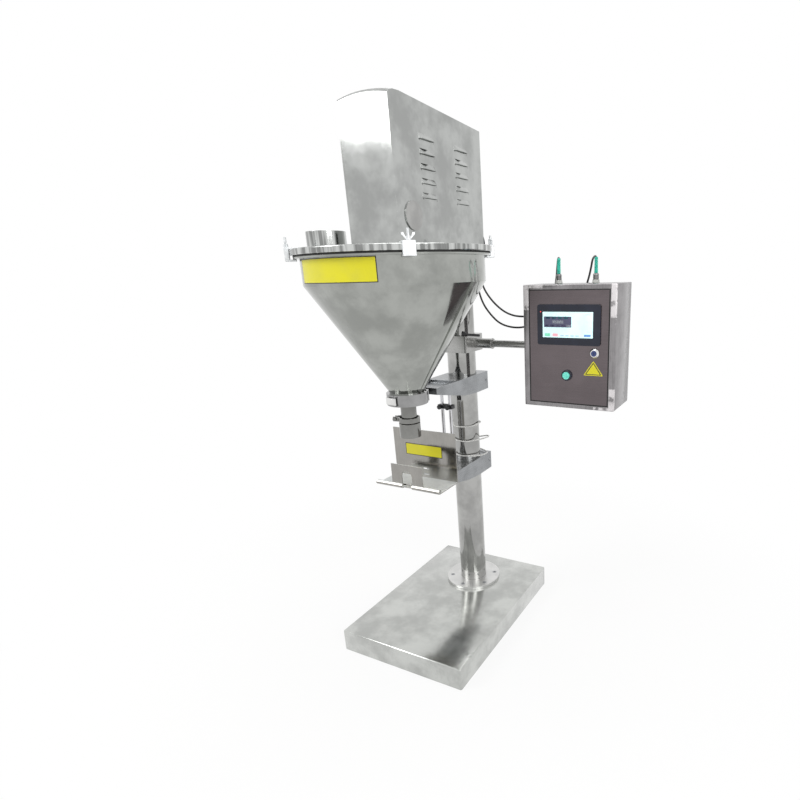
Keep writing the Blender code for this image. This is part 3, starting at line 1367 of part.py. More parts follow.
def arm(steel, black, swivel):
    """Split clamp with its socket, lever and the tube to the cabinet."""
    outer = COLUMN_RADIUS + ARM_CLAMP_WALL
    half = ARM_CLAMP_WIDTH / 2
    z = (ARM_Z - ARM_CLAMP_HEIGHT / 2, ARM_Z + ARM_CLAMP_HEIGHT / 2)
    through = (z[0] - OVERRUN, z[1] + OVERRUN)
    body = block((-half, half), (COLUMN_Y - outer, COLUMN_Y + outer), z)
    softened(body, ARM_CLAMP_WALL, "Z")
    socket = stepped(
        [(ARM_SOCKET_RADIUS, COLUMN_RADIUS + ARM_CLAMP_WALL / 2),
         (ARM_SOCKET_RADIUS, ARM_SOCKET_END_X - ARM_SOCKET_LIP_LENGTH),
         (ARM_SOCKET_RADIUS + ARM_SOCKET_LIP, ARM_SOCKET_END_X - ARM_SOCKET_LIP_LENGTH),
         (ARM_SOCKET_RADIUS + ARM_SOCKET_LIP, ARM_SOCKET_END_X)],
        SMALL_SEGMENTS,
    )
    spot = (0.0, COLUMN_Y, ARM_Z)
    body = joined(body, moved(lay_along(socket, "X"), spot))
    root = outer + GAP
    bore = lay_along(rod(ARM_TUBE_RADIUS + GAP, (root, ARM_SOCKET_END_X + OVERRUN),
                         SMALL_SEGMENTS), "X")
    body = cut(
        body,
        moved(bore, spot),
        rod(COLUMN_RADIUS + GAP, through, COLUMN_SEGMENTS, (0.0, COLUMN_Y)),
        block((-ARM_CLAMP_SLIT / 2, ARM_CLAMP_SLIT / 2),
              (COLUMN_Y, COLUMN_Y + outer + OVERRUN), through),
    )
    place("arm_clamp", body, steel, swivel.location, swivel)

    wall = ARM_TUBE_RADIUS - ARM_TUBE_WALL
    start, end = root + GAP, CABINET_X - GAP
    tube = turned(
        [(wall, start), (ARM_TUBE_RADIUS, start), (ARM_TUBE_RADIUS, end), (wall, end)],
        SMALL_SEGMENTS,
    )
    place("arm_tube", moved(lay_along(tube, "X"), spot), steel, swivel.location, swivel)

    seat = z[1] + GAP
    hub = stepped(
        [(LEVER_HUB_RADIUS, 0.0), (LEVER_HUB_RADIUS, LEVER_HUB_HEIGHT / 2),
         (LEVER_HUB_RADIUS / 2, LEVER_HUB_HEIGHT)],
        PIN_SEGMENTS,
    )
    handle = lay_along(rod(LEVER_RADIUS, (0.0, LEVER_LENGTH), PIN_SEGMENTS), "X")
    handle = moved(handle, (0.0, 0.0, LEVER_RADIUS + GAP))
    hinge = (LEVER_X, COLUMN_Y - LEVER_SETBACK, seat)
    place("arm_lever", moved(joined(hub, handle), hinge, LEVER_REST), black, hinge, swivel)


def cabinet(steel, door_steel, black, chrome, teal, green, zinc, swivel):
    x = (CABINET_X, CABINET_X + CABINET_WIDTH)
    y = (CABINET_Y, CABINET_Y + CABINET_DEPTH)
    z = (CABINET_Z, CABINET_Z + CABINET_HEIGHT)
    sheet = CABINET_SHEET
    shell = softened(block(x, y, z), CABINET_EDGE_RADIUS)
    shell = cut(
        shell,
        block((x[0] + sheet, x[1] - sheet), (y[0] + sheet, y[1] - sheet),
              (z[0] + sheet, z[1] - sheet)),
        block((x[0] + FRAME_SIDE, x[1] - FRAME_SIDE), (y[0] - OVERRUN, y[0] + sheet + OVERRUN),
              (z[0] + FRAME_END, z[1] - FRAME_END)),
    )
    shell = joined(shell, rebate_frame(x, y[0], z))
    for hinge_z in (z[0] + FRAME_END, z[1] - FRAME_END):
        shell = cut(shell, rod(HINGE_PIN_RADIUS + GAP, (hinge_z - OVERRUN, hinge_z + OVERRUN),
                               PIN_SEGMENTS, (DOOR_X + DOOR_GAP + HINGE_INSET,
                                              y[0] + HINGE_INSET)))
    for gland_x in GLAND_XS:
        shell = cut(shell, rod(GLAND_SLEEVE_RADIUS, (z[1] - OVERRUN, z[1] + OVERRUN), PIN_SEGMENTS,
                               (gland_x, GLAND_Y)))
    place("cabinet_shell", shell, steel, swivel.location, swivel)

    cabinet_door(door_steel, black, chrome, green, swivel)
    cabinet_inside(zinc, black, swivel, x, y, z)

    for side, gland_x in zip(("left", "right"), GLAND_XS):
        fitting = gland(z[1] + GAP, (gland_x, GLAND_Y))
        place(f"cabinet_gland_{side}", fitting, teal, swivel.location, swivel)


def rebate_frame(x, front, z):
    """The folded return round the door opening, with the lip that the door closes on."""
    left, right = x[0] + FRAME_SIDE, x[1] - FRAME_SIDE
    low, high = z[0] + FRAME_END, z[1] - FRAME_END
    edge, lip = REBATE_SHEET, REBATE_LIP
    rear = front + DOOR_DEPTH + RUN_GAP
    root = (front + CABINET_SHEET / 2, rear + edge)
    frame = block((left - edge, right + edge), root, (low - edge, high + edge))
    return cut(
        frame,
        block((left, right), (front - OVERRUN, rear), (low, high)),
        block((left + lip, right - lip), (front, rear + edge + OVERRUN), (low + lip, high - lip)),
    )


def gland(seat, centre):
    """A cable gland with its nut, cap and bend sleeve."""
    cap = seat + GLAND_NUT_HEIGHT
    sleeve = cap + GLAND_CAP_HEIGHT
    return stepped(
        [(GLAND_NUT_RADIUS, seat), (GLAND_NUT_RADIUS, cap), (GLAND_CAP_RADIUS, cap),
         (GLAND_CAP_RADIUS, sleeve - GLAND_SLEEVE_RADIUS / 2), (GLAND_SLEEVE_RADIUS, sleeve),
         (GLAND_SLEEVE_RADIUS, sleeve + GLAND_SLEEVE_HEIGHT)],
        PIN_SEGMENTS,
        centre,
    )


def cabinet_door(door_steel, black, chrome, green, swivel):
    """Door pan with the operator panel, key lock and start button."""
    x = (DOOR_X + DOOR_GAP, DOOR_X + DOOR_WIDTH - DOOR_GAP)
    z = (DOOR_Z + DOOR_GAP, DOOR_Z + DOOR_HEIGHT - DOOR_GAP)
    front = CABINET_Y
    hinge = (x[0] + HINGE_INSET, front + HINGE_INSET, (z[0] + z[1]) / 2)
    door_pivot = pivot("door_hinge", hinge, swivel)
    pan = block(x, (front, front + DOOR_DEPTH), z)
    sheet = DOOR_SHEET
    pan = cut(
        pan,
        block((x[0] + sheet, x[1] - sheet), (front + sheet, front + DOOR_DEPTH + OVERRUN),
              (z[0] + sheet, z[1] - sheet)),
        block(*panel_body(GAP)),
    )
    drill = (front - OVERRUN, front + sheet + OVERRUN)
    for radius, cx, cz in ((LOCK_BARREL_RADIUS, LOCK_X, LOCK_Z),
                           (BUTTON_CAP_RADIUS, BUTTON_X, BUTTON_Z)):
        hole = lay_along(rod(radius + GAP, drill), "Y")
        pan = cut(pan, moved(hole, (cx, 0.0, cz)))
    clear = BUTTON_CAP_RADIUS + GAP
    ring = turned(
        [(clear, -sheet / 2), (BUTTON_RING_RADIUS, -sheet / 2),
         (BUTTON_RING_RADIUS, BUTTON_RING_PROUD * 2 / 3), (clear, BUTTON_RING_PROUD)],
        SMALL_SEGMENTS,
    )
    pan = joined(pan, moved(lay_along(ring, "-Y"), (BUTTON_X, front, BUTTON_Z)))
    for ends in ((z[0] - HINGE_PIN_REACH, z[0] + sheet / 2),
                 (z[1] - sheet / 2, z[1] + HINGE_PIN_REACH)):
        pan = joined(pan, rod(HINGE_PIN_RADIUS, ends, PIN_SEGMENTS, hinge[:2]))
    place("cabinet_door", pan, door_steel, hinge, door_pivot)

    half_w, half_h = PANEL_WIDTH / 2, PANEL_HEIGHT / 2
    bezel = block((PANEL_X - half_w, PANEL_X + half_w), (front - GAP - PANEL_BEZEL, front - GAP),
                  (PANEL_Z - half_h, PANEL_Z + half_h))
    softened(bezel, PANEL_CORNER_RADIUS, "Y")
    place("operator_panel", joined(bezel, block(*panel_body(0.0))), black, hinge, door_pivot)

    lock_spot = (LOCK_X, front, LOCK_Z)
    lock = stepped(
        [(LOCK_BARREL_RADIUS, -LOCK_BARREL_DEPTH), (LOCK_BARREL_RADIUS, GAP), (LOCK_RADIUS, GAP),
         (LOCK_RADIUS, LOCK_PROUD / 2), (LOCK_RADIUS * 3 / 4, LOCK_PROUD)],
    )
    cam = block((-LOCK_CAM_WIDTH / 2, LOCK_CAM_WIDTH / 2),
                (-LOCK_CAM_LENGTH, LOCK_CAM_WIDTH / 2),
                (-LOCK_BARREL_DEPTH - LOCK_CAM_THICKNESS, -LOCK_BARREL_DEPTH + GAP))
    lock = joined(lock, cam)
    place("door_lock", moved(lay_along(lock, "-Y"), lock_spot), chrome, lock_spot, door_pivot)

    button_spot = (BUTTON_X, front, BUTTON_Z)
    cap = stepped(
        [(BUTTON_CAP_RADIUS, -BUTTON_BARREL_DEPTH), (BUTTON_CAP_RADIUS, BUTTON_PROUD * 3 / 4),
         (BUTTON_CAP_RADIUS * 3 / 4, BUTTON_PROUD)],
    )
    place("start_button", moved(lay_along(cap, "-Y"), button_spot), green, button_spot, door_pivot)


def panel_body(clearance):
    """The panel's housing behind the door, and the cut-out it passes through."""
    half_w = PANEL_WIDTH / 2 - PANEL_BODY_INSET + clearance
    half_h = PANEL_HEIGHT / 2 - PANEL_BODY_INSET + clearance
    return (
        (PANEL_X - half_w, PANEL_X + half_w),
        (CABINET_Y - GAP - PANEL_BEZEL / 2, CABINET_Y + PANEL_BODY_DEPTH),
        (PANEL_Z - half_h, PANEL_Z + half_h),
    )


def cabinet_inside(zinc, black, swivel, x, y, z):
    """Mounting plate on stand-offs with the motor drive."""
    back = y[1] - CABINET_SHEET - GAP
    face = back - MOUNT_PLATE_STANDOFF
    margin = CABINET_SHEET + MOUNT_PLATE_MARGIN
    px = (x[0] + margin, x[1] - margin)
    pz = (z[0] + margin, z[1] - margin)
    plate = block(px, (face - MOUNT_PLATE, face), pz)
    for sx in (px[0] + margin, px[1] - margin):
        for sz in (pz[0] + margin, pz[1] - margin):
            stud = rod(STANDOFF_RADIUS, (face - MOUNT_PLATE / 2, back), PIN_SEGMENTS)
            plate = joined(plate, moved(lay_along(stud, "Y"), (sx, 0.0, sz)))
    place("mounting_plate", plate, zinc, swivel.location, swivel)

    seat = face - MOUNT_PLATE - GAP
    floor = pz[0] + margin
    drive = block((px[0] + margin, px[0] + margin + DRIVE_WIDTH), (seat - DRIVE_DEPTH, seat),
                  (floor, floor + DRIVE_HEIGHT))
    place("motor_drive", drive, black, swivel.location, swivel)


def smooth_route(points, samples):
    """Even samples of a Catmull-Rom curve, with a straight piece at each end."""
    points = [Vector(point) for point in points]
    fine = []
    steps = 12
    for a, b, c, d in zip(points, points[1:], points[2:], points[3:]):
        for i in range(steps):
            t = i / steps
            fine.append(
                0.5 * (2 * b + (c - a) * t + (2 * a - 5 * b + 4 * c - d) * t ** 2
                       + (3 * b - a - 3 * c + d) * t ** 3)
            )
    fine.append(points[-2])
    lengths = [0.0]
    for a, b in zip(fine, fine[1:]):
        lengths.append(lengths[-1] + (b - a).length)
    even = []
    j = 0
    for i in range(samples):
        target = lengths[-1] * i / (samples - 1)
        while j < len(fine) - 2 and lengths[j + 1] < target:
            j += 1
        span = max(lengths[j + 1] - lengths[j], 1e-9)
        even.append(fine[j].lerp(fine[j + 1], (target - lengths[j]) / span))
    return [points[0], *even, points[-1]]


def cable(name, route, radius, samples, material):
    curve = bpy.data.curves.new(name, "CURVE")
    curve.dimensions = "3D"
    curve.bevel_depth = radius
    curve.bevel_resolution = 2
    curve.use_fill_caps = True
    line = curve.splines.new("POLY")
    points = smooth_route(route, samples)
    line.points.add(len(points) - 1)
    for point, spot in zip(line.points, points):
        point.co = (*spot, 1.0)
    curve.materials.append(material)
    lead = bpy.data.objects.new(name, curve)
    bpy.context.collection.objects.link(lead)


def main():
    clear_scene()
    polished = finish("polished_stainless", (0.72, 0.73, 0.72), 0.12)
    satin = finish("satin_stainless", (0.62, 0.62, 0.61), 0.34)
    door_steel = finish("brushed_stainless", (0.52, 0.49, 0.49), 0.38)
    machined = finish("machined_steel", (0.45, 0.46, 0.47), 0.40)
    aluminium = finish("aluminium", (0.68, 0.69, 0.70), 0.40)
    chrome = finish("chrome", (0.80, 0.80, 0.80), 0.10)
    zinc = finish("zinc_plate", (0.60, 0.61, 0.60), 0.45)
    cast = finish("cast_housing", (0.25, 0.27, 0.30), 0.55, 0.2)
    black = finish("black_plastic", (0.02, 0.02, 0.022), 0.45, 0.0)
    rubber = finish("black_rubber", (0.015, 0.015, 0.015), 0.80, 0.0)
    teal = finish("teal_sleeve", (0.02, 0.32, 0.26), 0.50, 0.0)
    green = finish("green_button", (0.08, 0.55, 0.42), 0.30, 0.0)
    pale = finish("pale_cable", (0.62, 0.62, 0.60), 0.50, 0.0)

    base(satin, machined)
    column(polished, satin)
    head(polished, satin, rubber)
    hood(polished)
    drives(machined, cast, black)
    hopper(polished, satin)
    lid_clamps(satin, chrome)
    outlet(polished, satin, chrome)
    brackets(satin, machined, aluminium)
    tray(satin)
    guide_rods(machined, black)
    swivel = pivot("arm_swivel", (0.0, COLUMN_Y, ARM_Z))
    arm(satin, black, swivel)
    cabinet(satin, door_steel, black, chrome, teal, green, zinc, swivel)
    cable("signal_cable", SIGNAL_ROUTE, CABLE_RADIUS, CABLE_SAMPLES, rubber)
    cable("power_cable", POWER_ROUTE, CABLE_RADIUS, CABLE_SAMPLES, rubber)
    cable("load_cell_cable", CELL_CABLE_ROUTE, CELL_CABLE_RADIUS, CELL_CABLE_SAMPLES, pale)


main()
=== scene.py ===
import json
import math

import bmesh
import bpy
from mathutils import Matrix, Vector


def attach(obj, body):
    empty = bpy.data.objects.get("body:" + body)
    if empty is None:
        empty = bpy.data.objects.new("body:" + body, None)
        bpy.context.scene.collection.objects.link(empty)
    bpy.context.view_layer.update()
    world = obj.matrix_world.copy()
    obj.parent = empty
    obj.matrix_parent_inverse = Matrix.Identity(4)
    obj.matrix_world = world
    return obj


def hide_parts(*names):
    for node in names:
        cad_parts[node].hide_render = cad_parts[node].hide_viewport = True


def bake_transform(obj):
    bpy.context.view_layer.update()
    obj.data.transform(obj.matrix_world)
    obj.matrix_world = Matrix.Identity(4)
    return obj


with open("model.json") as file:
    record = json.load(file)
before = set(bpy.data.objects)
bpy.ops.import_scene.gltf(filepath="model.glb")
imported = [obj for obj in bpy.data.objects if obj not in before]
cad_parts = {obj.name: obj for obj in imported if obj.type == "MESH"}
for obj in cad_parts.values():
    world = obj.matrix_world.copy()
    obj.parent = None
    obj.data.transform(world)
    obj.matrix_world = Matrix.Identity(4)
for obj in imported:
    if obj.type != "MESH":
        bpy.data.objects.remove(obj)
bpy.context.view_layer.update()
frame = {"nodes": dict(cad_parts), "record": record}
scene = bpy.context.scene
bodyOf = {node: body for body, nodes in frame["record"]["behaviour"]["bodies"].items() for node in nodes}
print("frame loaded:", len(frame["nodes"]), "nodes")

hopperAxis = (0.0, -0.176)
columnAxis = (0.0, 0.167)


# camera, as the photograph sees the machine
lens = {
    "spot": (1.0652, -1.5382, 1.3071),
    "yaw": 26.7744,
    "pitch": -17.7036,
    "roll": -1.6482,
    "focal": 534.2243,      # in pixels of an 800 pixel frame
    "centre": (512.9576, 442.6332),
    "frame": 800, "sensor": 36.0, "reach": 50,
}


def makeCamera():
    yaw, pitch, roll = (math.radians(lens[key]) for key in ("yaw", "pitch", "roll"))
    forward = Vector((-math.sin(yaw) * math.cos(pitch), math.cos(yaw) * math.cos(pitch), math.sin(pitch)))
    right = Vector((math.cos(yaw), math.sin(yaw), 0.0))
    up = right.cross(forward)
    across = right * math.cos(roll) + up * math.sin(roll)
    upward = -right * math.sin(roll) + up * math.cos(roll)
    data = bpy.data.cameras.new("photoCamera")
    data.sensor_width = lens["sensor"]
    data.lens = lens["focal"] * lens["sensor"] / lens["frame"]
    data.shift_x = (lens["frame"] / 2 - lens["centre"][0]) / lens["frame"]
    data.shift_y = (lens["centre"][1] - lens["frame"] / 2) / lens["frame"]
    data.clip_end = lens["reach"]
    camera = bpy.data.objects.new("photoCamera", data)
    scene.collection.objects.link(camera)
    turn = Matrix((across, upward, -forward)).transposed()
    camera.matrix_world = Matrix.Translation(lens["spot"]) @ turn.to_4x4()
    scene.camera = camera


makeCamera()
scene.view_settings.view_transform = "Standard"
print("camera placed")


# shader nodes as Python expressions
class Tap:
    def __init__(self, maker, socket):
        self.maker, self.socket = maker, socket

    def maths(self, kind, other):
        return self.maker.add("ShaderNodeMath", {"operation": kind}, [self, other])

    def __add__(self, other):
        return self.maths("ADD", other)

    def __radd__(self, other):
        return self.maths("ADD", other)

    def __sub__(self, other):
        return self.maths("SUBTRACT", other)

    def __rsub__(self, other):
        return self.maker.add("ShaderNodeMath", {"operation": "SUBTRACT"}, [other, self])

    def __mul__(self, other):
        return self.maths("MULTIPLY", other)

    def __rmul__(self, other):
        return self.maths("MULTIPLY", other)

    def clamp(self):
        return self.maker.add("ShaderNodeClamp", {}, {"Value": self})

    def smooth(self, low, high):
        settings = {"interpolation_type": "SMOOTHSTEP"}
        inputs = {"Value": self, "From Min": low, "From Max": high}
        return self.maker.add("ShaderNodeMapRange", settings, inputs)


class Nodes:
    # the nodes of one tree, all made by the same method
    def __init__(self, tree):
        self.tree = tree

    def feed(self, socket, value):
        if isinstance(value, Tap):
            self.tree.links.new(value.socket, socket)
        elif isinstance(value, (tuple, list)) and len(value) == 3 and len(socket.default_value) == 4:
            socket.default_value = (*value, 1.0)
        else:
            socket.default_value = value

    def add(self, kind, settings, inputs, out=0):
        node = self.tree.nodes.new(kind)
        for key, value in settings.items():
            setattr(node, key, value)
        pairs = inputs.items() if isinstance(inputs, dict) else enumerate(inputs)
        for key, value in pairs:
            self.feed(node.inputs[key], value)
        return Tap(self, node.outputs[out])


class Finish(Nodes):
    def __init__(self, name, colour, roughness, metallic=0.0):
        self.material = bpy.data.materials.new(name)
        self.material.use_nodes = True
        super().__init__(self.material.node_tree)
        self.shader = self.tree.nodes["Principled BSDF"]
        self.put(**{"Base Color": colour, "Roughness": roughness, "Metallic": metallic})
        self.material.diffuse_color = (*colour, 1.0)

    def put(self, **values):
        for name, value in values.items():
            self.feed(self.shader.inputs[name], value)

    def place(self, scale=(1, 1, 1)):
        where = self.add("ShaderNodeTexCoord", {}, {}, "Object")
        return self.add("ShaderNodeMapping", {}, {"Vector": where, "Scale": scale})

    def axis(self, letter, where=None):
        return self.add("ShaderNodeSeparateXYZ", {}, [where or self.place()], letter)

    def upward(self):
        # one where a face looks up, zero where it stands upright, and less where it looks down
        return self.axis("Z", self.add("ShaderNodeNewGeometry", {}, {}, "Normal"))

    def noise(self, scale, detail=3, rough=0.5, where=None, twist=0.0):
        inputs = {"Vector": where or self.place(), "Scale": scale, "Detail": detail,
                  "Roughness": rough, "Distortion": twist}
        return self.add("ShaderNodeTexNoise", {}, inputs, "Fac")

    def blend(self, mask, low, high):
        # a Mix node's colours are its inputs 6 and 7 and its output 2
        return self.add("ShaderNodeMix", {"data_type": "RGBA"}, {0: mask, 6: low, 7: high}, 2)

    def bump(self, height, strength, depth, onto=None):
        inputs = {"Height": height, "Strength": strength, "Distance": depth}
        if onto:
            inputs["Normal"] = onto
        bumped = self.add("ShaderNodeBump", {}, inputs)
        self.feed(self.shader.inputs["Normal"], bumped)
        return bumped


def toned(tint, share):
    return tuple(min(1.0, share * c) for c in tint)


def polishedSteel(name, tint, roughness, wave, grain, waveScale, wax=0.0):
    # sheet polished to a mirror, with slack in the panel and fine wheel lines along one way
    look = Finish(name, tint, roughness, 1.0)
    slack = look.noise(waveScale, 1, 0.4, look.place(), 0.6)
    lines = look.noise(1.0, 2, 0.6, look.place(grain))
    cloud = look.noise(9.0, 4, 0.6)
    look.put(**{
        "Base Color": look.blend(cloud.smooth(0.35, 0.68), toned(tint, 0.80), toned(tint, 1.10)),
        "Roughness": lines * 0.06 + cloud * 0.08 + (roughness - 0.06),
    })
    if wax:
        look.put(**{"Coat Weight": cloud * 0.3 + (wax - 0.15), "Coat Roughness": 0.045})
    broad = look.bump(slack, 0.9, wave)
    look.bump(lines, 0.03, 0.0002, broad)
    return look.material


def lidSteel(name, tint):
    # spun sheet: handling marks round the rim, whose colour also carries painted reflection in light and
    # dark streaks, fine turning lines on top
    look = Finish(name, tint, 0.09, 1.0)
    rimMarksAndReflections = look.noise(1.0, 3, 0.6, look.place((52, 52, 3)))
    lines = look.noise(1.0, 2, 0.6, look.place((300, 22, 300)))
    cloud = look.noise(8.0, 4, 0.6)
    rimPaintedReflection = rimMarksAndReflections.smooth(0.40, 0.60)
    top = look.upward().smooth(0.5, 0.9)
    # painted reflection: the rim's colour runs from half its tint to a quarter over it in streaks, standing
    # in for mirrored light and dark
    rim = look.blend(rimPaintedReflection, toned(tint, 0.50), toned(tint, 1.25))
    face = look.blend((cloud * 0.7 + lines * 0.3).smooth(0.3, 0.7), toned(tint, 0.88), tint)
    look.put(**{
        "Base Color": look.blend(top, rim, face),
        "Roughness": lines * 0.06 + cloud * 0.06 + top * 0.10 + 0.02,
    })
    broad = look.bump(rimMarksAndReflections * (1 - top) + cloud * top * 0.2, 0.5, 0.0006)
    look.bump(lines, 0.1, 0.0002, broad)
    return look.material


def brushedSteel(name, tint, roughness, grain, patch, contrast):
    # one-way brushing under a cloudy handling film
    look = Finish(name, tint, roughness, 1.0)
    lines = look.noise(1.0, 3, 0.65, look.place(grain))
    cloud = look.noise(patch, 5, 0.62)
    specks = look.noise(120.0, 2, 0.7)
    dark, pale = toned(tint, 1 - contrast), toned(tint, 1 + contrast)
    look.put(**{
        "Base Color": look.blend((cloud * 0.7 + lines * 0.3).smooth(0.35, 0.65), dark, pale),
        "Roughness": lines * 0.16 + cloud * 0.12 + specks * 0.04 + (roughness - 0.16),
    })
    slack = look.bump(cloud, 0.25, 0.0012)
    look.bump(lines, 0.22, 0.0003, slack)
    return look.material


def cabinetSteel(name, tint, corners):
    # brushed sheet with torn protective film left at some corners and a scuffed side
    look = Finish(name, tint, 0.25, 1.0)
    lines = look.noise(1.0, 3, 0.65, look.place((500, 500, 12)))
    cloud = look.noise(16.0, 5, 0.65)
    tear = look.noise(38.0, 3, 0.6)
    x, y, z = (look.axis(letter) for letter in "XYZ")
    film, front = None, 1 - y.smooth(0.0270, 0.0320)
    for left, right, low, high in corners:
        part = x.smooth(left, left + 0.002) * (1 - x.smooth(right, right + 0.002))
        part = part * z.smooth(low, low + 0.004) * (1 - z.smooth(high, high + 0.004))
        film = part if film is None else film + part
    film = (film * front * tear.smooth(0.34, 0.50) * 0.9).clamp()
    mottle = (cloud * 0.6 + lines * 0.4).smooth(0.38, 0.62)
    metal = look.blend(mottle, toned(tint, 0.80), toned(tint, 1.16))
    look.put(**{
        "Base Color": look.blend(film, metal, (0.76, 0.73, 0.74)),
        "Metallic": 1 - film * 0.8,
        "Roughness": lines * 0.14 + cloud * 0.14 + film * 0.25 + 0.08,
    })
    slack = look.bump(cloud, 0.30, 0.0016)
    look.bump(lines, 0.2, 0.0003, slack)
    return look.material


def traySteel(name, tint, grain):
    # brushed sheet, with a pale, less metallic coat on whatever faces up
    look = Finish(name, tint, 0.26, 1.0)
    lines = look.noise(1.0, 3, 0.65, look.place(grain))
    cloud = look.noise(12.0, 4, 0.62)
    fineSpeckle = look.noise(240.0, 3, 0.7)
    paleCover = (look.upward().smooth(0.80, 0.97) * (fineSpeckle * 0.35 + cloud * 0.3 + 0.5)).clamp()
    metal = look.blend((cloud * 0.6 + lines * 0.4).smooth(0.38, 0.62), toned(tint, 0.86), tint)
    look.put(**{
        "Base Color": look.blend(paleCover, metal, (0.74, 0.77, 0.77)),
        "Metallic": 1 - paleCover * 0.8,
        "Roughness": lines * 0.10 + cloud * 0.06 + paleCover * 0.2 + 0.05,
    })
    look.bump(lines, 0.2, 0.0003)
    return look.material


def machinedSteel(name, tint, roughness):
    look = Finish(name, tint, roughness, 1.0)
    rings = look.noise(1.0, 2, 0.6, look.place((60, 60, 2200)))
    stain = look.noise(35.0, 3)
    look.put(**{
        "Base Color": look.blend(stain.smooth(0.3, 0.7), toned(tint, 0.82), tint),
        "Roughness": rings * 0.14 + stain * 0.08 + (roughness - 0.1),
    })
    look.bump(rings, 0.25, 0.0002)
    return look.material


def platedZinc(name, tint):
    # pale passivated plating, half dull
    look = Finish(name, tint, 0.4, 0.55)
    spangle = look.noise(60.0, 3, 0.6)
    smear = look.noise(14.0, 4, 0.6)
    mottle = (spangle * 0.5 + smear * 0.5).smooth(0.35, 0.65)
    look.put(**{
        "Base Color": look.blend(mottle, toned(tint, 0.78), tint),
        "Roughness": smear * 0.2 + 0.26,
    })
    look.bump(spangle, 0.2, 0.0002)
    return look.material


def mouldedPlastic(name, colour, roughness, grain, strength):
    look = Finish(name, colour, roughness)
    pebble = look.noise(grain, 2, 0.5)
    wear = look.noise(40.0, 3)
    worn = tuple(min(1, c * 1.35 + 0.004) for c in colour)
    look.put(**{
        "Base Color": look.blend(wear.smooth(0.35, 0.75), colour, worn),
        "Roughness": pebble * 0.1 + wear * 0.1 + (roughness - 0.1),
    })
    look.bump(pebble, strength, 0.0002)
    return look.material


def castPaint(name, colour):
    look = Finish(name, colour, 0.5)
    orange = look.noise(260.0, 2, 0.5)
    paleCover = look.noise(18.0, 4)
    look.put(**{
        "Base Color": look.blend(paleCover.smooth(0.4, 0.8), colour, tuple(c * 0.8 + 0.05 for c in colour)),
        "Roughness": orange * 0.14 + 0.36,
    })
    look.bump(orange, 0.25, 0.0004)
    return look.material


finishes = {
    "hood": polishedSteel("hoodSteel", (0.44, 0.45, 0.44), 0.10, 0.0034, (26, 26, 700), 2.1),
    "mirror": polishedSteel("mirrorSteel", (0.36, 0.37, 0.35), 0.10, 0.0006, (420, 420, 9), 5.0),
    "lid": lidSteel("lidSteel", (0.48, 0.49, 0.48)),
    "column": polishedSteel("columnSteel", (0.40, 0.40, 0.39), 0.085, 0.0003, (40, 40, 900), 8.0),
    "small": polishedSteel("fittingSteel", (0.42, 0.42, 0.41), 0.14, 0.0001, (500, 500, 40), 20.0),
    # painted shade: the neck and nozzle under the hopper take a darker copy of the fitting steel
    "neck": polishedSteel("neckSteel", (0.24, 0.24, 0.23), 0.12, 0.0002, (500, 500, 40), 20.0),
    "base": polishedSteel("baseSteel", (0.52, 0.53, 0.51), 0.19, 0.0010, (40, 420, 420), 3.0, 0.8),
    "bracket": brushedSteel("bracketSteel", (0.30, 0.31, 0.32), 0.28, (600, 16, 600), 9.0, 0.18),
    "tray": traySteel("traySteel", (0.36, 0.35, 0.33), (600, 600, 14)),
    "cabinet": cabinetSteel("cabinetSteel", (0.27, 0.26, 0.265), (
        (0.326, 0.392, 1.2560, 1.2690), (0.326, 0.3455, 1.1900, 1.2580), (0.6090, 0.6300, 1.1700, 1.2690),
        (0.6090, 0.6300, 0.8870, 0.9560), (0.560, 0.6100, 0.8870, 0.8960),
    )),
    "collar": polishedSteel("collarSteel", (0.33, 0.33, 0.33), 0.08, 0.0003, (500, 500, 40), 20.0),
    "rod": polishedSteel("rodSteel", (0.66, 0.66, 0.68), 0.12, 0.0001, (500, 500, 20), 30.0),
    "door": brushedSteel("doorSteel", (0.150, 0.128, 0.134), 0.28, (12, 500, 500), 5.0, 0.12),
    "arm": brushedSteel("armSteel", (0.40, 0.40, 0.39), 0.24, (14, 500, 500), 12.0, 0.12),
    "machined": machinedSteel("machinedSteel", (0.42, 0.43, 0.44), 0.36),
    "chrome": machinedSteel("chromePlate", (0.78, 0.78, 0.77), 0.14),
    "aluminium": machinedSteel("milledAluminium", (0.66, 0.67, 0.68), 0.38),
    "clampZinc": platedZinc("clampZinc", (0.82, 0.84, 0.85)),
    "flange": brushedSteel("flangeSteel", (0.66, 0.66, 0.65), 0.36, (300, 300, 300), 20.0, 0.08),
    "zinc": brushedSteel("zincPlate", (0.56, 0.57, 0.55), 0.42, (40, 40, 40), 22.0, 0.2),
    "cast": castPaint("gearmotorPaint", (0.11, 0.13, 0.16)),
    "servo": castPaint("servoPaint", (0.025, 0.026, 0.028)),
    "black": mouldedPlastic("blackPlastic", (0.018, 0.018, 0.020), 0.42, 900.0, 0.18),
    "bezel": mouldedPlastic("panelPlastic", (0.004, 0.007, 0.020), 0.30, 1400.0, 0.08),
    "rubber": mouldedPlastic("gasketRubber", (0.014, 0.014, 0.014), 0.70, 500.0, 0.25),
    "teal": mouldedPlastic("tealPlastic", (0.05, 0.62, 0.47), 0.38, 700.0, 0.1),
    "glandBody": mouldedPlastic("glandPlastic", (0.55, 0.56, 0.53), 0.34, 700.0, 0.1),
    "sheath": mouldedPlastic("cableSheath", (0.016, 0.016, 0.017), 0.40, 600.0, 0.12),
    "paleSheath": mouldedPlastic("paleSheath", (0.58, 0.58, 0.56), 0.42, 600.0, 0.12),
    "blue": mouldedPlastic("lockCore", (0.03, 0.05, 0.16), 0.30, 700.0, 0.1),
}
print("finishes mixed:", len(finishes))


# geometry helpers; angles in degrees
joining = {"sharp": 32.0, "flat": 0.6, "weld": 2e-6, "seam": 1e-7, "weight": 100}


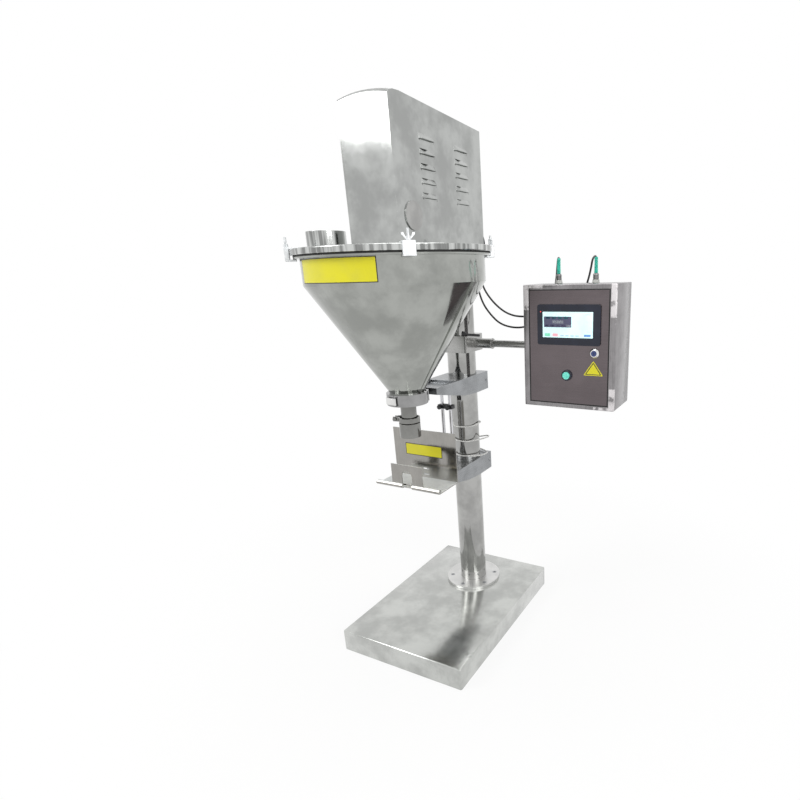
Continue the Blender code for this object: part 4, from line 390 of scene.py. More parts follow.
def newPiece(name, solid, finish, angle=joining["sharp"], smooth=True):
    mesh = bpy.data.meshes.new(name)
    solid.to_mesh(mesh)
    solid.free()
    if smooth:
        mesh.shade_smooth()
        mesh.set_sharp_from_angle(angle=math.radians(angle))
    mesh.materials.append(finishes[finish] if isinstance(finish, str) else finish)
    piece = bpy.data.objects.new(name, mesh)
    scene.collection.objects.link(piece)
    return piece


def settled(piece):
    # turn live modifiers into a plain mesh and leave the object at the origin
    graph = bpy.context.evaluated_depsgraph_get()
    mesh = bpy.data.meshes.new_from_object(piece.evaluated_get(graph))
    mesh.name = piece.name
    old = piece.data
    piece.modifiers.clear()
    piece.data = mesh
    if old.users == 0:
        bpy.data.meshes.remove(old)
    mesh.transform(piece.matrix_world)
    piece.matrix_world = Matrix.Identity(4)
    return piece


def rounded(piece, width, segments):
    bevel = piece.modifiers.new("edges", "BEVEL")
    bevel.width, bevel.segments = width, segments
    bevel.limit_method, bevel.angle_limit = "ANGLE", math.radians(joining["sharp"])
    bevel.use_clamp_overlap = True
    flat = piece.modifiers.new("flatFaces", "WEIGHTED_NORMAL")
    flat.mode, flat.weight, flat.keep_sharp = "FACE_AREA", joining["weight"], True
    return settled(piece)


def carried(piece, body, node=None):
    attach(piece, body)
    if node:
        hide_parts(node)
    return piece


def skin(rings, closed=False):
    solid = bmesh.new()
    loops = [[solid.verts.new(point) for point in ring] for ring in rings]
    count = len(loops[0])
    pairs = list(zip(loops, loops[1:]))
    if closed:
        pairs.append((loops[-1], loops[0]))
    for a, b in pairs:
        for i in range(count):
            j = (i + 1) % count
            solid.faces.new((a[i], a[j], b[j], b[i]))
    if not closed:
        solid.faces.new(loops[0])
        solid.faces.new(loops[-1])
    bmesh.ops.remove_doubles(solid, verts=solid.verts, dist=joining["seam"])
    bmesh.ops.recalc_face_normals(solid, faces=solid.faces)
    return solid


def circle(radius, height, segments):
    turns = [math.tau * i / segments for i in range(segments)]
    return [(radius * math.cos(turn), radius * math.sin(turn), height) for turn in turns]


def turned(profile, segments):
    # a closed (radius, height) profile turned about the Z axis
    return skin(list(zip(*(circle(r, z, segments) for r, z in profile))), closed=True)


def stepped(profile, segments):
    # a solid bar of (radius, height) rings about the Z axis
    return skin([circle(r, z, segments) for r, z in profile])


def plate(outline, span):
    # an (x, z) outline between two depths
    return skin([[(x, y, z) for x, z in outline] for y in span])


def slab(x, y, z):
    return skin([[(x[0], y[0], h), (x[1], y[0], h), (x[1], y[1], h), (x[0], y[1], h)] for h in z])


def shifted(solid, offset=(0, 0, 0), degrees=0.0, axis="Z"):
    turn = Matrix.Rotation(math.radians(degrees), 4, axis)
    bmesh.ops.transform(solid, matrix=Matrix.Translation(offset) @ turn, verts=solid.verts)
    return solid


def laid(solid, axis):
    degrees, about = {"X": (90, "Y"), "-X": (-90, "Y"), "Y": (-90, "X"), "-Y": (90, "X")}[axis]
    return shifted(solid, degrees=degrees, axis=about)


def merged(*solids):
    whole = bmesh.new()
    for solid in solids:
        mesh = bpy.data.meshes.new("part")
        solid.to_mesh(mesh)
        solid.free()
        whole.from_mesh(mesh)
        bpy.data.meshes.remove(mesh)
    return whole


def polar(radius, degrees, centre):
    angle = math.radians(degrees)
    return centre[0] + radius * math.cos(angle), centre[1] + radius * math.sin(angle)


def roundedOutline(width, height, radius, steps, centre):
    points = []
    for cx, cy, start in ((1, 1, 0), (-1, 1, 90), (-1, -1, 180), (1, -1, 270)):
        for i in range(steps + 1):
            angle = math.radians(start + 90 * i / steps)
            points.append((
                centre[0] + cx * (width / 2 - radius) + radius * math.cos(angle),
                centre[1] + cy * (height / 2 - radius) + radius * math.sin(angle),
            ))
    return points


def camel(node):
    first, *rest = node.split("_")
    return first + "".join(word.capitalize() for word in rest)


def dressed(node, finish, edge=0.0006, segments=2, name=None):
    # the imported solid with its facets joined, its edges eased and its own finish
    solid = bmesh.new()
    solid.from_mesh(frame["nodes"][node].data)
    bmesh.ops.remove_doubles(solid, verts=solid.verts, dist=joining["weld"])
    flat = math.radians(joining["flat"])
    bmesh.ops.dissolve_limit(solid, angle_limit=flat, verts=solid.verts, edges=solid.edges)
    piece = newPiece(name or camel(node), solid, finish)
    if edge:
        rounded(piece, edge, segments)
    return carried(piece, bodyOf[node], node)


# cables come before the rest
def distances(points):
    # how far along the line each point lies
    lengths = [0.0]
    for a, b in zip(points, points[1:]):
        lengths.append(lengths[-1] + (b - a).length)
    return lengths


def smoothRoute(points, samples, share=12):
    # a curve through the inner points, cut into even steps
    points = [Vector(point) for point in points]
    fine = []
    for a, b, c, d in zip(points, points[1:], points[2:], points[3:]):
        for i in range(share):
            t = i / share
            fine.append(0.5 * (2 * b + (c - a) * t + (2 * a - 5 * b + 4 * c - d) * t ** 2
                               + (3 * b - a - 3 * c + d) * t ** 3))
    fine.append(points[-2])
    lengths = distances(fine)
    even, j = [], 0
    for i in range(samples):
        target = lengths[-1] * i / (samples - 1)
        while j < len(fine) - 2 and lengths[j + 1] < target:
            j += 1
        span = max(lengths[j + 1] - lengths[j], 1e-9)
        even.append(fine[j].lerp(fine[j + 1], (target - lengths[j]) / span))
    return [points[0], *even, points[-1]]


def tube(points, radius, sides=14):
    # rings carried along the line without twisting
    rings, side = [], None
    for i, point in enumerate(points):
        ahead = points[min(i + 1, len(points) - 1)] - points[max(i - 1, 0)]
        ahead.normalize()
        if side is None:
            side = ahead.orthogonal().normalized()
        side = (side - ahead * side.dot(ahead)).normalized()
        other = ahead.cross(side)
        rings.append([point + side * x + other * y for x, y, _ in circle(radius, 0.0, sides)])
    return skin(rings)


def lengthOf(points):
    return sum((b - a).length for a, b in zip(points, points[1:]))


cables = {
    "signalCable": {
        "node": "signal_cable", "radius": 0.0033, "samples": 150, "finish": "sheath",
        "route": (
            (0.0600, 0.2080, 1.4500), (0.0600, 0.2230, 1.4500), (0.0600, 0.2420, 1.4475),
            (0.0600, 0.2580, 1.4330), (0.0602, 0.2680, 1.4080), (0.0610, 0.2580, 1.3700),
            (0.0650, 0.2380, 1.3300), (0.0730, 0.2180, 1.2920), (0.0860, 0.2060, 1.2560),
            (0.1170, 0.2040, 1.2140), (0.1570, 0.2040, 1.1800), (0.1970, 0.2040, 1.1620),
            (0.2400, 0.2040, 1.1570), (0.3000, 0.2040, 1.1600), (0.3600, 0.2040, 1.1720),
            (0.4100, 0.2040, 1.1920), (0.4450, 0.2040, 1.2180), (0.4680, 0.2040, 1.2500),
            (0.4810, 0.2020, 1.2850), (0.4900, 0.1960, 1.3150), (0.5000, 0.1800, 1.3380),
            (0.5140, 0.1590, 1.3470), (0.5235, 0.1430, 1.3430), (0.5250, 0.1400, 1.3330),
            (0.5250, 0.1400, 1.3228),
        ),
    },
    "powerCable": {
        "node": "power_cable", "radius": 0.0033, "samples": 150, "finish": "sheath",
        "route": (
            (0.0300, 0.2080, 1.4500), (0.0300, 0.2230, 1.4500), (0.0300, 0.2420, 1.4475),
            (0.0300, 0.2580, 1.4330), (0.0302, 0.2680, 1.4080), (0.0320, 0.2600, 1.3700),
            (0.0380, 0.2440, 1.3300), (0.0500, 0.2220, 1.2880), (0.0700, 0.2000, 1.2400),
            (0.0910, 0.1950, 1.1960), (0.1230, 0.1950, 1.1570), (0.1550, 0.1950, 1.1330),
            (0.1960, 0.1950, 1.1210), (0.2410, 0.1950, 1.1210), (0.2850, 0.1950, 1.1350),
            (0.3230, 0.1950, 1.1650), (0.3490, 0.1950, 1.2050), (0.3640, 0.1950, 1.2500),
            (0.3710, 0.1945, 1.2900), (0.3760, 0.1890, 1.3200), (0.3840, 0.1740, 1.3400),
            (0.3930, 0.1570, 1.3460), (0.4000, 0.1430, 1.3430), (0.4010, 0.1400, 1.3330),
            (0.4010, 0.1400, 1.3228),
        ),
    },
    "loadCellCable": {
        "node": "load_cell_cable", "radius": 0.0025, "samples": 260, "finish": "paleSheath",
        "route": (
            (-0.0490, 0.0820, 0.6226), (-0.0490, 0.0820, 0.6290), (-0.0540, 0.0920, 0.6345),
            (-0.0640, 0.1200, 0.6360), (-0.0650, 0.1600, 0.6370), (-0.0560, 0.1950, 0.6370),
            (-0.0330, 0.2240, 0.6350), (0.0050, 0.2410, 0.6300), (0.0400, 0.2330, 0.6280),
            (0.0650, 0.2120, 0.6280), (0.0720, 0.1850, 0.6310), (0.0670, 0.1500, 0.6350),
            (0.0480, 0.1250, 0.6380), (0.0150, 0.1080, 0.6400), (-0.0200, 0.1120, 0.6440),
            (-0.0500, 0.1340, 0.6510), (-0.0590, 0.1700, 0.6600), (-0.0430, 0.2080, 0.6700),
            (-0.0050, 0.2270, 0.6800), (0.0350, 0.2190, 0.6890), (0.0680, 0.2080, 0.6990),
            (0.0890, 0.1900, 0.7040), (0.0860, 0.1700, 0.7030), (0.0650, 0.1450, 0.6990),
            (0.0390, 0.1210, 0.6970), (0.0080, 0.1080, 0.6990), (-0.0270, 0.1140, 0.7040),
            (-0.0530, 0.1400, 0.7130), (-0.0570, 0.1780, 0.7240), (-0.0380, 0.2120, 0.7350),
            (0.0000, 0.2265, 0.7450), (0.0390, 0.2120, 0.7530), (0.0585, 0.1750, 0.7590),
            (0.0520, 0.1440, 0.7555), (0.0340, 0.1225, 0.7540), (0.0100, 0.1095, 0.7550),
            (-0.0080, 0.0970, 0.7620), (0.0005, 0.0790, 0.7950), (0.0000, 0.0690, 0.8300),
            (0.0010, 0.0650, 0.8750), (0.0010, 0.0650, 0.9440),
        ),
    },
}
cablePaths = {}


def makeCables():
    for name, facts in cables.items():
        path = smoothRoute(facts["route"], facts["samples"])
        cablePaths[name] = path
        cable = newPiece(name, tube(path, facts["radius"]), facts["finish"], 50)
        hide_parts(facts["node"])
        swinging = name != "loadCellCable"
        if swinging:
            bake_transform(cable)
        else:
            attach(cable, "stand")
        lengthOf(path)
        2 * facts["radius"]
        print("cable", name, round(lengthOf(path), 3), "m")


makeCables()


# geometry nodes for what repeats
def makeRingTree():
    # copies of one piece round a circle, each turned to face outwards
    tree = bpy.data.node_groups.new("ringOfPieces", "GeometryNodeTree")
    sockets = {}
    for label, kind in (
        ("Piece", "NodeSocketObject"), ("Count", "NodeSocketInt"), ("Radius", "NodeSocketFloat"),
        ("Start", "NodeSocketFloat"), ("Centre", "NodeSocketVector"), ("Finish", "NodeSocketMaterial"),
    ):
        sockets[label] = tree.interface.new_socket(label, in_out="INPUT", socket_type=kind).identifier
    tree.interface.new_socket("Geometry", in_out="OUTPUT", socket_type="NodeSocketGeometry")
    ring = Nodes(tree)
    asked, result = tree.nodes.new("NodeGroupInput"), tree.nodes.new("NodeGroupOutput")
    given = {label: Tap(ring, asked.outputs[label]) for label in sockets}
    rim = ring.add("GeometryNodeMeshCircle", {}, {"Vertices": given["Count"], "Radius": given["Radius"]})
    step = ring.add("ShaderNodeMath", {"operation": "DIVIDE"}, [math.tau, given["Count"]])
    angle = ring.add("GeometryNodeInputIndex", {}, {}) * step
    facing = ring.add("ShaderNodeCombineXYZ", {}, {"Z": angle})
    piece = ring.add("GeometryNodeObjectInfo", {}, {"Object": given["Piece"]}, "Geometry")
    copies = {"Points": rim, "Instance": piece, "Rotation": facing}
    spread = ring.add("GeometryNodeInstanceOnPoints", {}, copies)
    turn = ring.add("ShaderNodeCombineXYZ", {}, {"Z": given["Start"]})
    placed = ring.add("GeometryNodeTransform", {}, {
        "Geometry": spread, "Translation": given["Centre"], "Rotation": turn,
    })
    whole = ring.add("GeometryNodeRealizeInstances", {}, [placed])
    painted = ring.add("GeometryNodeSetMaterial", {}, {"Geometry": whole, "Material": given["Finish"]})
    ring.feed(result.inputs[0], painted)
    return tree, sockets


ringTree, ringSockets = makeRingTree()


def repeated(name, solid, finish, body, **values):
    seed = newPiece(name + "Seed", solid, finish)
    holder = bpy.data.objects.new(name, bpy.data.meshes.new(name))
    scene.collection.objects.link(holder)
    modifier = holder.modifiers.new("repeat", "NODES")
    modifier.node_group = ringTree
    modifier[ringSockets["Piece"]] = seed
    modifier[ringSockets["Finish"]] = finishes[finish]
    for key, value in values.items():
        modifier[ringSockets[key]] = value
    bpy.context.view_layer.update()
    settled(holder)
    bpy.data.objects.remove(seed)
    return carried(holder, body)


def socketScrew(radius, height, recess, depth, countersunk=False, sides=24):
    # a screw head with a hexagon socket, seated at its own origin and facing +Z
    inner = []
    for i in range(sides):
        angle = math.tau * i / sides
        wedge = (angle + math.pi / 6) % (math.pi / 3) - math.pi / 6
        reach = recess / math.cos(wedge)
        inner.append((reach * math.cos(angle), reach * math.sin(angle)))
    foot, shoulder, eased, floor = (0.55 if countersunk else 1.0), (0.98 if countersunk else 0.85), 0.94, 0.9
    return skin([
        circle(radius * foot, 0.0, sides),
        circle(radius, height * shoulder, sides),
        circle(radius * eased, height, sides),
        [(x, y, height) for x, y in inner],
        [(x * floor, y * floor, height - depth) for x, y in inner],
    ])


# stand: base, column and brackets; a screw is its radius, height, socket and depth of socket
stand = {
    "footScrew": (0.0088, 0.0042, 0.0030, 0.0024), "footScrews": 6, "footCircle": 0.088, "footStart": 30,
    "footSeat": 0.0858,
    "brackets": ((0.914, "upper"), (0.588, "lower")),   # height of the clamping bolts
    "bolt": (0.0052, 0.005, 0.0024, 0.003), "boltSpot": (0.0590, 0.2365),
    "trayScrew": (0.0042, 0.0032, 0.0019, 0.002), "trayScrewSpot": (0.016, -0.108, 0.608),
}


def makeStand():
    dressed("base_cover", "base", 0.0)
    dressed("base_chassis", "machined", 0.0008)
    dressed("column_tube", "column", 0.0006)
    dressed("column_flange", "flange", 0.0010, 3)
    dressed("column_head_block", "bracket", 0.0008)
    repeated("footScrews", socketScrew(*stand["footScrew"], True), "machined", "stand",
             Count=stand["footScrews"], Radius=stand["footCircle"], Start=math.radians(stand["footStart"]),
             Centre=(*columnAxis, stand["footSeat"]))
    out, back = stand["boltSpot"]
    for height, name in stand["brackets"]:
        dressed(f"{name}_bracket", "bracket", 0.0008)
        dressed(f"{name}_clamp_block", "machined", 0.0010)
        for side, way, label in ((1, "X", "Right"), (-1, "-X", "Left")):
            head = shifted(laid(socketScrew(*stand["bolt"]), way), (side * out, back, height))
            carried(newPiece(f"{name}ClampBolt{label}", head, "machined"), "stand")
    dressed("load_cell", "aluminium", 0.0006)
    print("stand dressed")


def makeTray():
    dressed("tray", "tray", 0.0005, name="weighingTray")
    out, face, height = stand["trayScrewSpot"]
    for side, label in ((-1, "Left"), (1, "Right")):
        head = shifted(laid(socketScrew(*stand["trayScrew"]), "-Y"), (side * out, face, height))
        carried(newPiece(f"trayScrew{label}", head, "machined"), "stand")


# rods and their sliding clamp
knobs = {
    "ribs": 18, "radius": 0.0074, "out": 0.017, "spot": (0.0285, 0.849),
    "rib": ((0.0004, 0.0), (0.0009, 0.0006), (0.0009, 0.0086), (0.0004, 0.0092)),
}


def makeRods():
    for side in ("left", "right"):
        dressed(f"guide_rod_{side}", "rod", 0.0003)
        dressed(f"rod_knob_{side}", "black", 0.0005)
    dressed("rod_clamp", "black", 0.0010)
    upright = Matrix.Rotation(math.radians(90), 4, "X")
    for side, way in (("Left", -1), ("Right", 1)):
        ribs = repeated(f"knobRibs{side}", stepped(knobs["rib"], 8), "black", f"knob_{side.lower()}",
                        Count=knobs["ribs"], Radius=knobs["radius"], Start=0.0, Centre=(0.0, 0.0, 0.0))
        ribs.data.transform(Matrix.Translation((way * knobs["out"], *knobs["spot"])) @ upright)
    print("rods dressed")


# the hood's pressed louvres and its round plug
vents = {
    "face": 0.0865, "reach": 0.0330, "sill": 0.0080, "overlap": 0.0022, "drop": 0.0012, "corner": 0.0024,
    "rows": 5, "pitch": 0.0385, "top": 1.6740, "columns": (-0.0950, 0.0920), "depths": (-0.0012, 0.0003),
    "plug": (-0.185, 1.468), "plugRadius": 0.0396, "plugFace": 0.0029, "dome": 0.0011, "domeSteps": 10,
}


def makeVents():
    # a sill that closes the sheet under each scoop
    wide = 2 * (vents["reach"] + vents["overlap"])
    for side, way in ((1, "Right"), (-1, "Left")):
        sills = []
        for y in vents["columns"]:
            for row in range(vents["rows"]):
                low = vents["top"] - row * vents["pitch"] - vents["drop"]
                outline = roundedOutline(wide, vents["sill"], vents["corner"], 3, (y, low))
                depths = [side * (vents["face"] + depth) for depth in vents["depths"]]
                sills.append(skin([[(x, u, v) for u, v in outline] for x in depths]))
        carried(newPiece(f"louvreSills{way}", merged(*sills), "hood"), "stand")
    y, z = vents["plug"]
    radius, steps = vents["plugRadius"], vents["domeSteps"]
    profile = [(radius - 0.0012, 0.0), (radius, 0.0), (radius, 0.0006)]
    for i in range(1, steps + 1):
        r = radius * math.cos(math.pi / 2 * i / steps) * 0.985
        profile.append((max(r, 0.0004), 0.0007 + vents["dome"] * (1 - (r / radius) ** 2)))
    cap = shifted(laid(stepped(profile, 64), "X"), (vents["face"] + vents["plugFace"], y, z))
    carried(newPiece("plugCap", cap, "small", 25), "stand")


# head: lid, gasket, clamps and hood
grommets = {
    "columns": (0.030, 0.060), "spot": (0.2190, 1.450),
    "profile": ((0.0034, -0.0012), (0.0068, -0.0012), (0.0068, 0.0006), (0.0056, 0.0022), (0.0038, 0.0026),
                (0.0034, 0.0022)),
}


def makeHead():
    makeVents()
    dressed("hopper_lid", "lid", 0.0014, 3)
    dressed("lid_gasket", "rubber", 0.0008)
    dressed("head_plate", "bracket", 0.0006)
    dressed("motor_hood", "hood", 0.0006, 2)
    for i in range(1, 5):
        dressed(f"lid_clamp_{i}", "clampZinc", 0.0012, 3)
        dressed(f"lid_wing_screw_{i}", "clampZinc", 0.0008, 3)
    for i, x in enumerate(grommets["columns"], 1):
        grommet = shifted(laid(turned(grommets["profile"], 32), "Y"), (x, *grommets["spot"]))
        carried(newPiece(f"cableGrommet{i}", grommet, "rubber"), "stand")
    print("head dressed")


def makeDrives():
    for node, finish in (
        ("hub_bearing", "machined"), ("agitator_gear", "machined"), ("drive_pinion", "machined"),
        ("motor_bridge", "cast"), ("servo_motor", "servo"), ("agitator_motor", "cast"),
        ("shaft_coupling", "aluminium"),
    ):
        dressed(node, finish, 0.0005)


# hopper, outlet and nozzle
def makeHopper():
    dressed("hopper_shell", "mirror", 0.0008)
    dressed("auger_screw", "small", 0.0)
    dressed("agitator_frame", "bracket", 0.0008)
    for node, finish in (
        ("collar_band_rear", "collar"), ("collar_band_front", "collar"), ("collar_latch", "chrome"),
        ("outlet_neck", "neck"), ("nozzle_sleeve", "neck"), ("nozzle_clamp", "neck"),
        ("nozzle_wing_screw", "neck"),
    ):
        dressed(node, finish, 0.0005)
    print("hopper dressed")


# arm and cabinet
def makeArm():
    dressed("arm_clamp", "arm", 0.0012, 3)
    dressed("arm_tube", "arm", 0.0004)
    dressed("arm_lever", "black", 0.0012, 3)


def makeCabinet():
    dressed("cabinet_shell", "cabinet", 0.0)
    dressed("cabinet_door", "door", 0.0006)
    dressed("operator_panel", "bezel", 0.0008)
    dressed("door_lock", "chrome", 0.0006)
    dressed("mounting_plate", "zinc", 0.0004)
    dressed("motor_drive", "black", 0.0016)
    print("cabinet dressed")


# plain plates where the machine carries its notices
notices = {
    "drumBearings": (-121, -62), "drumHeights": (1.2915, 1.3560), "drumRadius": 0.2690,
    "trayX": (-0.0790, 0.0720), "trayZ": (0.7060, 0.7480), "trayFace": -0.1080,
    "triangle": ((0.5280, 0.9970), (0.5910, 0.9970), (0.5595, 1.0430)), "doorFace": 0.0230,
    "border": 0.0024, "sheet": 0.0004, "face": 1.7, "corner": 0.0040,   # the face is 1.7 sheets thick
    "layers": ((1.0, 1.0), (0.84, 1.5), (0.70, 2.0)),                   # the triangle's sizes and sheets
}


def noticeFinish(name, colour, roughness):
    look = Finish(name, colour, roughness)
    fade = look.noise(14.0, 4, 0.6)
    scuff = look.noise(1.0, 2, 0.7, look.place((40, 40, 420)))
    look.put(**{
        "Base Color": look.blend(fade.smooth(0.35, 0.75), colour, tuple(c * 0.90 + 0.02 for c in colour)),
        "Roughness": scuff * 0.16 + (roughness - 0.08),
    })
    look.bump(fade, 0.15, 0.0004)
    return look.material


def curvedPlate(radius, bearings, heights, thickness, steps=40):
    rings = []
    for i in range(steps + 1):
        bearing = bearings[0] + (bearings[1] - bearings[0]) * i / steps
        rings.append([(*polar(r, bearing, hopperAxis), z) for r, z in (
            (radius, heights[0]), (radius + thickness, heights[0]),
            (radius + thickness, heights[1]), (radius, heights[1]))])
    return skin(rings)


def shrunk(points, amount):
    # a triangle set in from its middle
    cx, cy = (sum(p[k] for p in points) / len(points) for k in (0, 1))
    return [(cx + (x - cx) * amount, cy + (y - cy) * amount) for x, y in points]


def softTriangle(points, radius, steps=4):
    # each corner is a curve that leaves its two sides a little way off
    outline = []
    for i, corner in enumerate(points):
        before, after = Vector(points[i - 1]), Vector(points[(i + 1) % 3])
        here = Vector(corner)
        start = here + (before - here).normalized() * radius
        end = here + (after - here).normalized() * radius
        for k in range(steps + 1):
            t = k / steps
            outline.append(tuple(start * (1 - t) ** 2 + here * 2 * t * (1 - t) + end * t ** 2))
    return outline


def makeDrumNotice(ink, yellow):
    radius, sheet, border = notices["drumRadius"], notices["sheet"], notices["border"]
    (low, high), (left, right) = notices["drumHeights"], notices["drumBearings"]
    edge = math.degrees(border / radius)
    back = curvedPlate(radius, (left, right), (low, high), sheet)
    carried(newPiece("drumNoticeBorder", back, ink), "stand")
    bearings, heights = (left + edge, right - edge), (low + border, high - border)
    face = curvedPlate(radius, bearings, heights, sheet * notices["face"])
    carried(newPiece("drumNoticeFace", face, yellow), "stand")


def makeTrayNotice(ink, yellow):
    (x0, x1), (z0, z1), y = notices["trayX"], notices["trayZ"], notices["trayFace"]
    centre, sheet, edges = ((x0 + x1) / 2, (z0 + z1) / 2), notices["sheet"], 2 * notices["border"]
    back = roundedOutline(x1 - x0, z1 - z0, 0.002, 3, centre)
    carried(newPiece("trayNoticeBorder", plate(back, (y - sheet, y)), ink), "stand")
    face = roundedOutline(x1 - x0 - edges, z1 - z0 - edges, 0.0015, 3, centre)
    carried(newPiece("trayNoticeFace", plate(face, (y - sheet * notices["face"], y)), yellow), "stand")


def makeNotices():
    yellow = noticeFinish("noticeYellow", (0.76, 0.70, 0.012), 0.34)
    ink = noticeFinish("noticeInk", (0.025, 0.022, 0.018), 0.42)
    makeDrumNotice(ink, yellow)
    makeTrayNotice(ink, yellow)
    y, sheet = notices["doorFace"], notices["sheet"]
    for i, ((size, proud), look) in enumerate(zip(notices["layers"], (yellow, ink, yellow)), 1):
        outline = softTriangle(shrunk(notices["triangle"], size), notices["corner"] * size)
        carried(newPiece(f"doorTriangle{i}", plate(outline, (y - sheet * proud, y)), look), "door")
    print("notices fitted")


# operator screen: plain blocks of colour on a lit panel
screen = {
    "x": (0.3960, 0.5580), "z": (1.1110, 1.1880), "face": 0.0167, "glow": 0.55,
    # block colours with places as shares of the screen, from its top left corner
    "blocks": (
        ((0.05, 0.05, 0.11), ((0.025, 0.18, 0.58, 0.60),)),
        ((0.10, 0.34, 0.36), tuple((0.07 + 0.12 * i, 0.20, 0.15 + 0.12 * i, 0.27) for i in range(4))),
        ((0.85, 0.90, 0.93), ((0.20, 0.33, 0.42, 0.45), (0.48, 0.50, 0.57, 0.58))),
        ((0.30, 0.28, 0.42), tuple((0.05 + 0.11 * i, 0.50, 0.12 + 0.11 * i, 0.57) for i in range(4))),
        ((0.22, 0.78, 0.52), ((0.04, 0.84, 0.15, 0.96),)),
        ((0.92, 0.45, 0.52), ((0.20, 0.84, 0.31, 0.96),)),
        ((0.42, 0.56, 0.72), tuple((0.36 + 0.10 * i, 0.90, 0.43 + 0.10 * i, 0.95) for i in range(4))),
        ((0.12, 0.30, 0.66), ((0.83, 0.86, 0.96, 0.95),)),
        ((0.62, 0.80, 0.82), ((0.85, 0.08, 0.95, 0.12), (0.88, 0.74, 0.95, 0.78))),
    ),
    "blockGlow": 0.385, "glass": 0.0002, "tile": (0.00035, 0.0001),
    "lamp": (0.3890, 1.1880), "lampRadius": 0.0016, "lampColour": (0.9, 0.06, 0.05), "lampGlow": 1.2,
}


def litFinish(name, colour, glow):
    look = Finish(name, colour, 0.12)
    haze = look.noise(26.0, 2)
    shade = look.blend(haze.smooth(0.3, 0.7), toned(colour, 0.86), colour)
    look.put(**{"Base Color": shade, "Emission Color": shade, "Emission Strength": glow,
                "Coat Weight": 0.6, "Roughness": haze * 0.05 + 0.12})
    return look.material


def makeScreen():
    (x0, x1), (z0, z1), y = screen["x"], screen["z"], screen["face"]
    wide, tall, centre = x1 - x0, z1 - z0, ((x0 + x1) / 2, (z0 + z1) / 2)
    glass = plate(roundedOutline(wide, tall, 0.001, 2, centre), (y - screen["glass"], y))
    lit = litFinish("screenGlass", (0.66, 0.94, 0.95), screen["glow"])
    carried(newPiece("screenGlass", glass, lit), "door")
    depths = [y - depth for depth in screen["tile"]]
    for i, (colour, places) in enumerate(screen["blocks"], 1):
        tiles = [
            slab((x0 + wide * a, x0 + wide * c), depths, (z1 - tall * d, z1 - tall * b))
            for a, b, c, d in places
        ]
        look = litFinish(f"screenBlock{i}", colour, screen["blockGlow"])
        carried(newPiece(f"screenBlock{i}", merged(*tiles), look, smooth=False), "door")
    x, z = screen["lamp"]
    radius = screen["lampRadius"]
    profile = [(radius, 0.0), (radius, 0.0003), (radius * 0.7, 0.0009), (0.0003, 0.0011)]
    dome = laid(stepped(profile, 16), "-Y")
    look = litFinish("panelLamp", screen["lampColour"], screen["lampGlow"])
    carried(newPiece("panelLamp", shifted(dome, (x, y + screen["glass"], z)), look), "door")
    print("screen lit")


# soft seal round the door
seal = {"x": (0.3474, 0.6066), "z": (0.9029, 1.2531), "width": 0.0024, "face": 0.0230, "proud": 0.0003}


def makeSeal():
    (x0, x1), (z0, z1), wide = seal["x"], seal["z"], seal["width"]
    back, front = seal["face"], seal["face"] - seal["proud"]
    rings = [
        [(x0 + inset, y, z0 + inset), (x1 - inset, y, z0 + inset), (x1 - inset, y, z1 - inset),
         (x0 + inset, y, z1 - inset)]
        for inset, y in ((0, back), (0, front), (wide, front), (wide, back))
    ]
    carried(newPiece("doorSeal", skin(rings, closed=True), "rubber"), "door")


# push button and key lock on the door; profiles are (radius, height) from the back
control = {
    "button": (0.4740, 0.9940), "buttonBack": 0.0470, "door": 0.0230,
    "cap": ((0.0054, 0.0), (0.0108, 0.0), (0.0108, 0.0340), (0.0112, 0.0341), (0.0115, 0.0344),
            (0.0107, 0.0349), (0.0095, 0.03515), (0.0040, 0.0348), (0.0008, 0.0347)),
    "ring": ((0.0121, 0.0), (0.0169, 0.0), (0.0169, 0.0050), (0.0159, 0.0062), (0.0127, 0.0062),
             (0.0121, 0.0056)),
    "lock": (0.5630, 1.0660), "lockFront": 0.0140, "core": 0.0088, "keySlot": (0.0013, 0.0080),
}


def paintedGlowButtonFinish():
    look = Finish("buttonTeal", (0.10, 0.70, 0.55), 0.22)
    swirl = look.noise(160.0, 2)
    look.put(**{
        "Base Color": look.blend(swirl.smooth(0.3, 0.7), (0.07, 0.60, 0.47), (0.22, 0.80, 0.66)),
        # painted light: the cap glows faintly though it holds no lamp
        "Emission Color": look.blend(swirl, (0.05, 0.55, 0.42), (0.16, 0.72, 0.58)),
        "Emission Strength": 0.18, "Coat Weight": 0.5, "Roughness": swirl * 0.12 + 0.16,
    })
    return look.material


def makeControls():
    makeSeal()
    x, z = control["button"]
    cap = shifted(laid(stepped(control["cap"], 64), "-Y"), (x, control["buttonBack"], z))
    carried(newPiece("startButton", cap, paintedGlowButtonFinish(), 25), "button", "start_button")
    ring = shifted(laid(turned(control["ring"], 64), "-Y"), (x, control["door"], z))
    carried(newPiece("buttonRing", ring, "bezel", 25), "door")
    x, z = control["lock"]
    front, radius = control["lockFront"], control["core"]
    core = laid(stepped([(radius, 0.0), (radius, 0.0006), (radius * 0.9, 0.0010)], 40), "-Y")
    carried(newPiece("lockCore", shifted(core, (x, front, z)), "blue", 25), "lock")
    # painted shade: the key slot is no opening, a thin dark plate on the core stands for the shade inside it
    wide, tall = control["keySlot"]
    slotShadePlate = plate(roundedOutline(wide, tall, wide * 0.45, 3, (x, z)), (front - 0.00115, front - 0.0008))
    carried(newPiece("lockKeySlot", slotShadePlate, "rubber"), "lock")
    print("controls fitted")


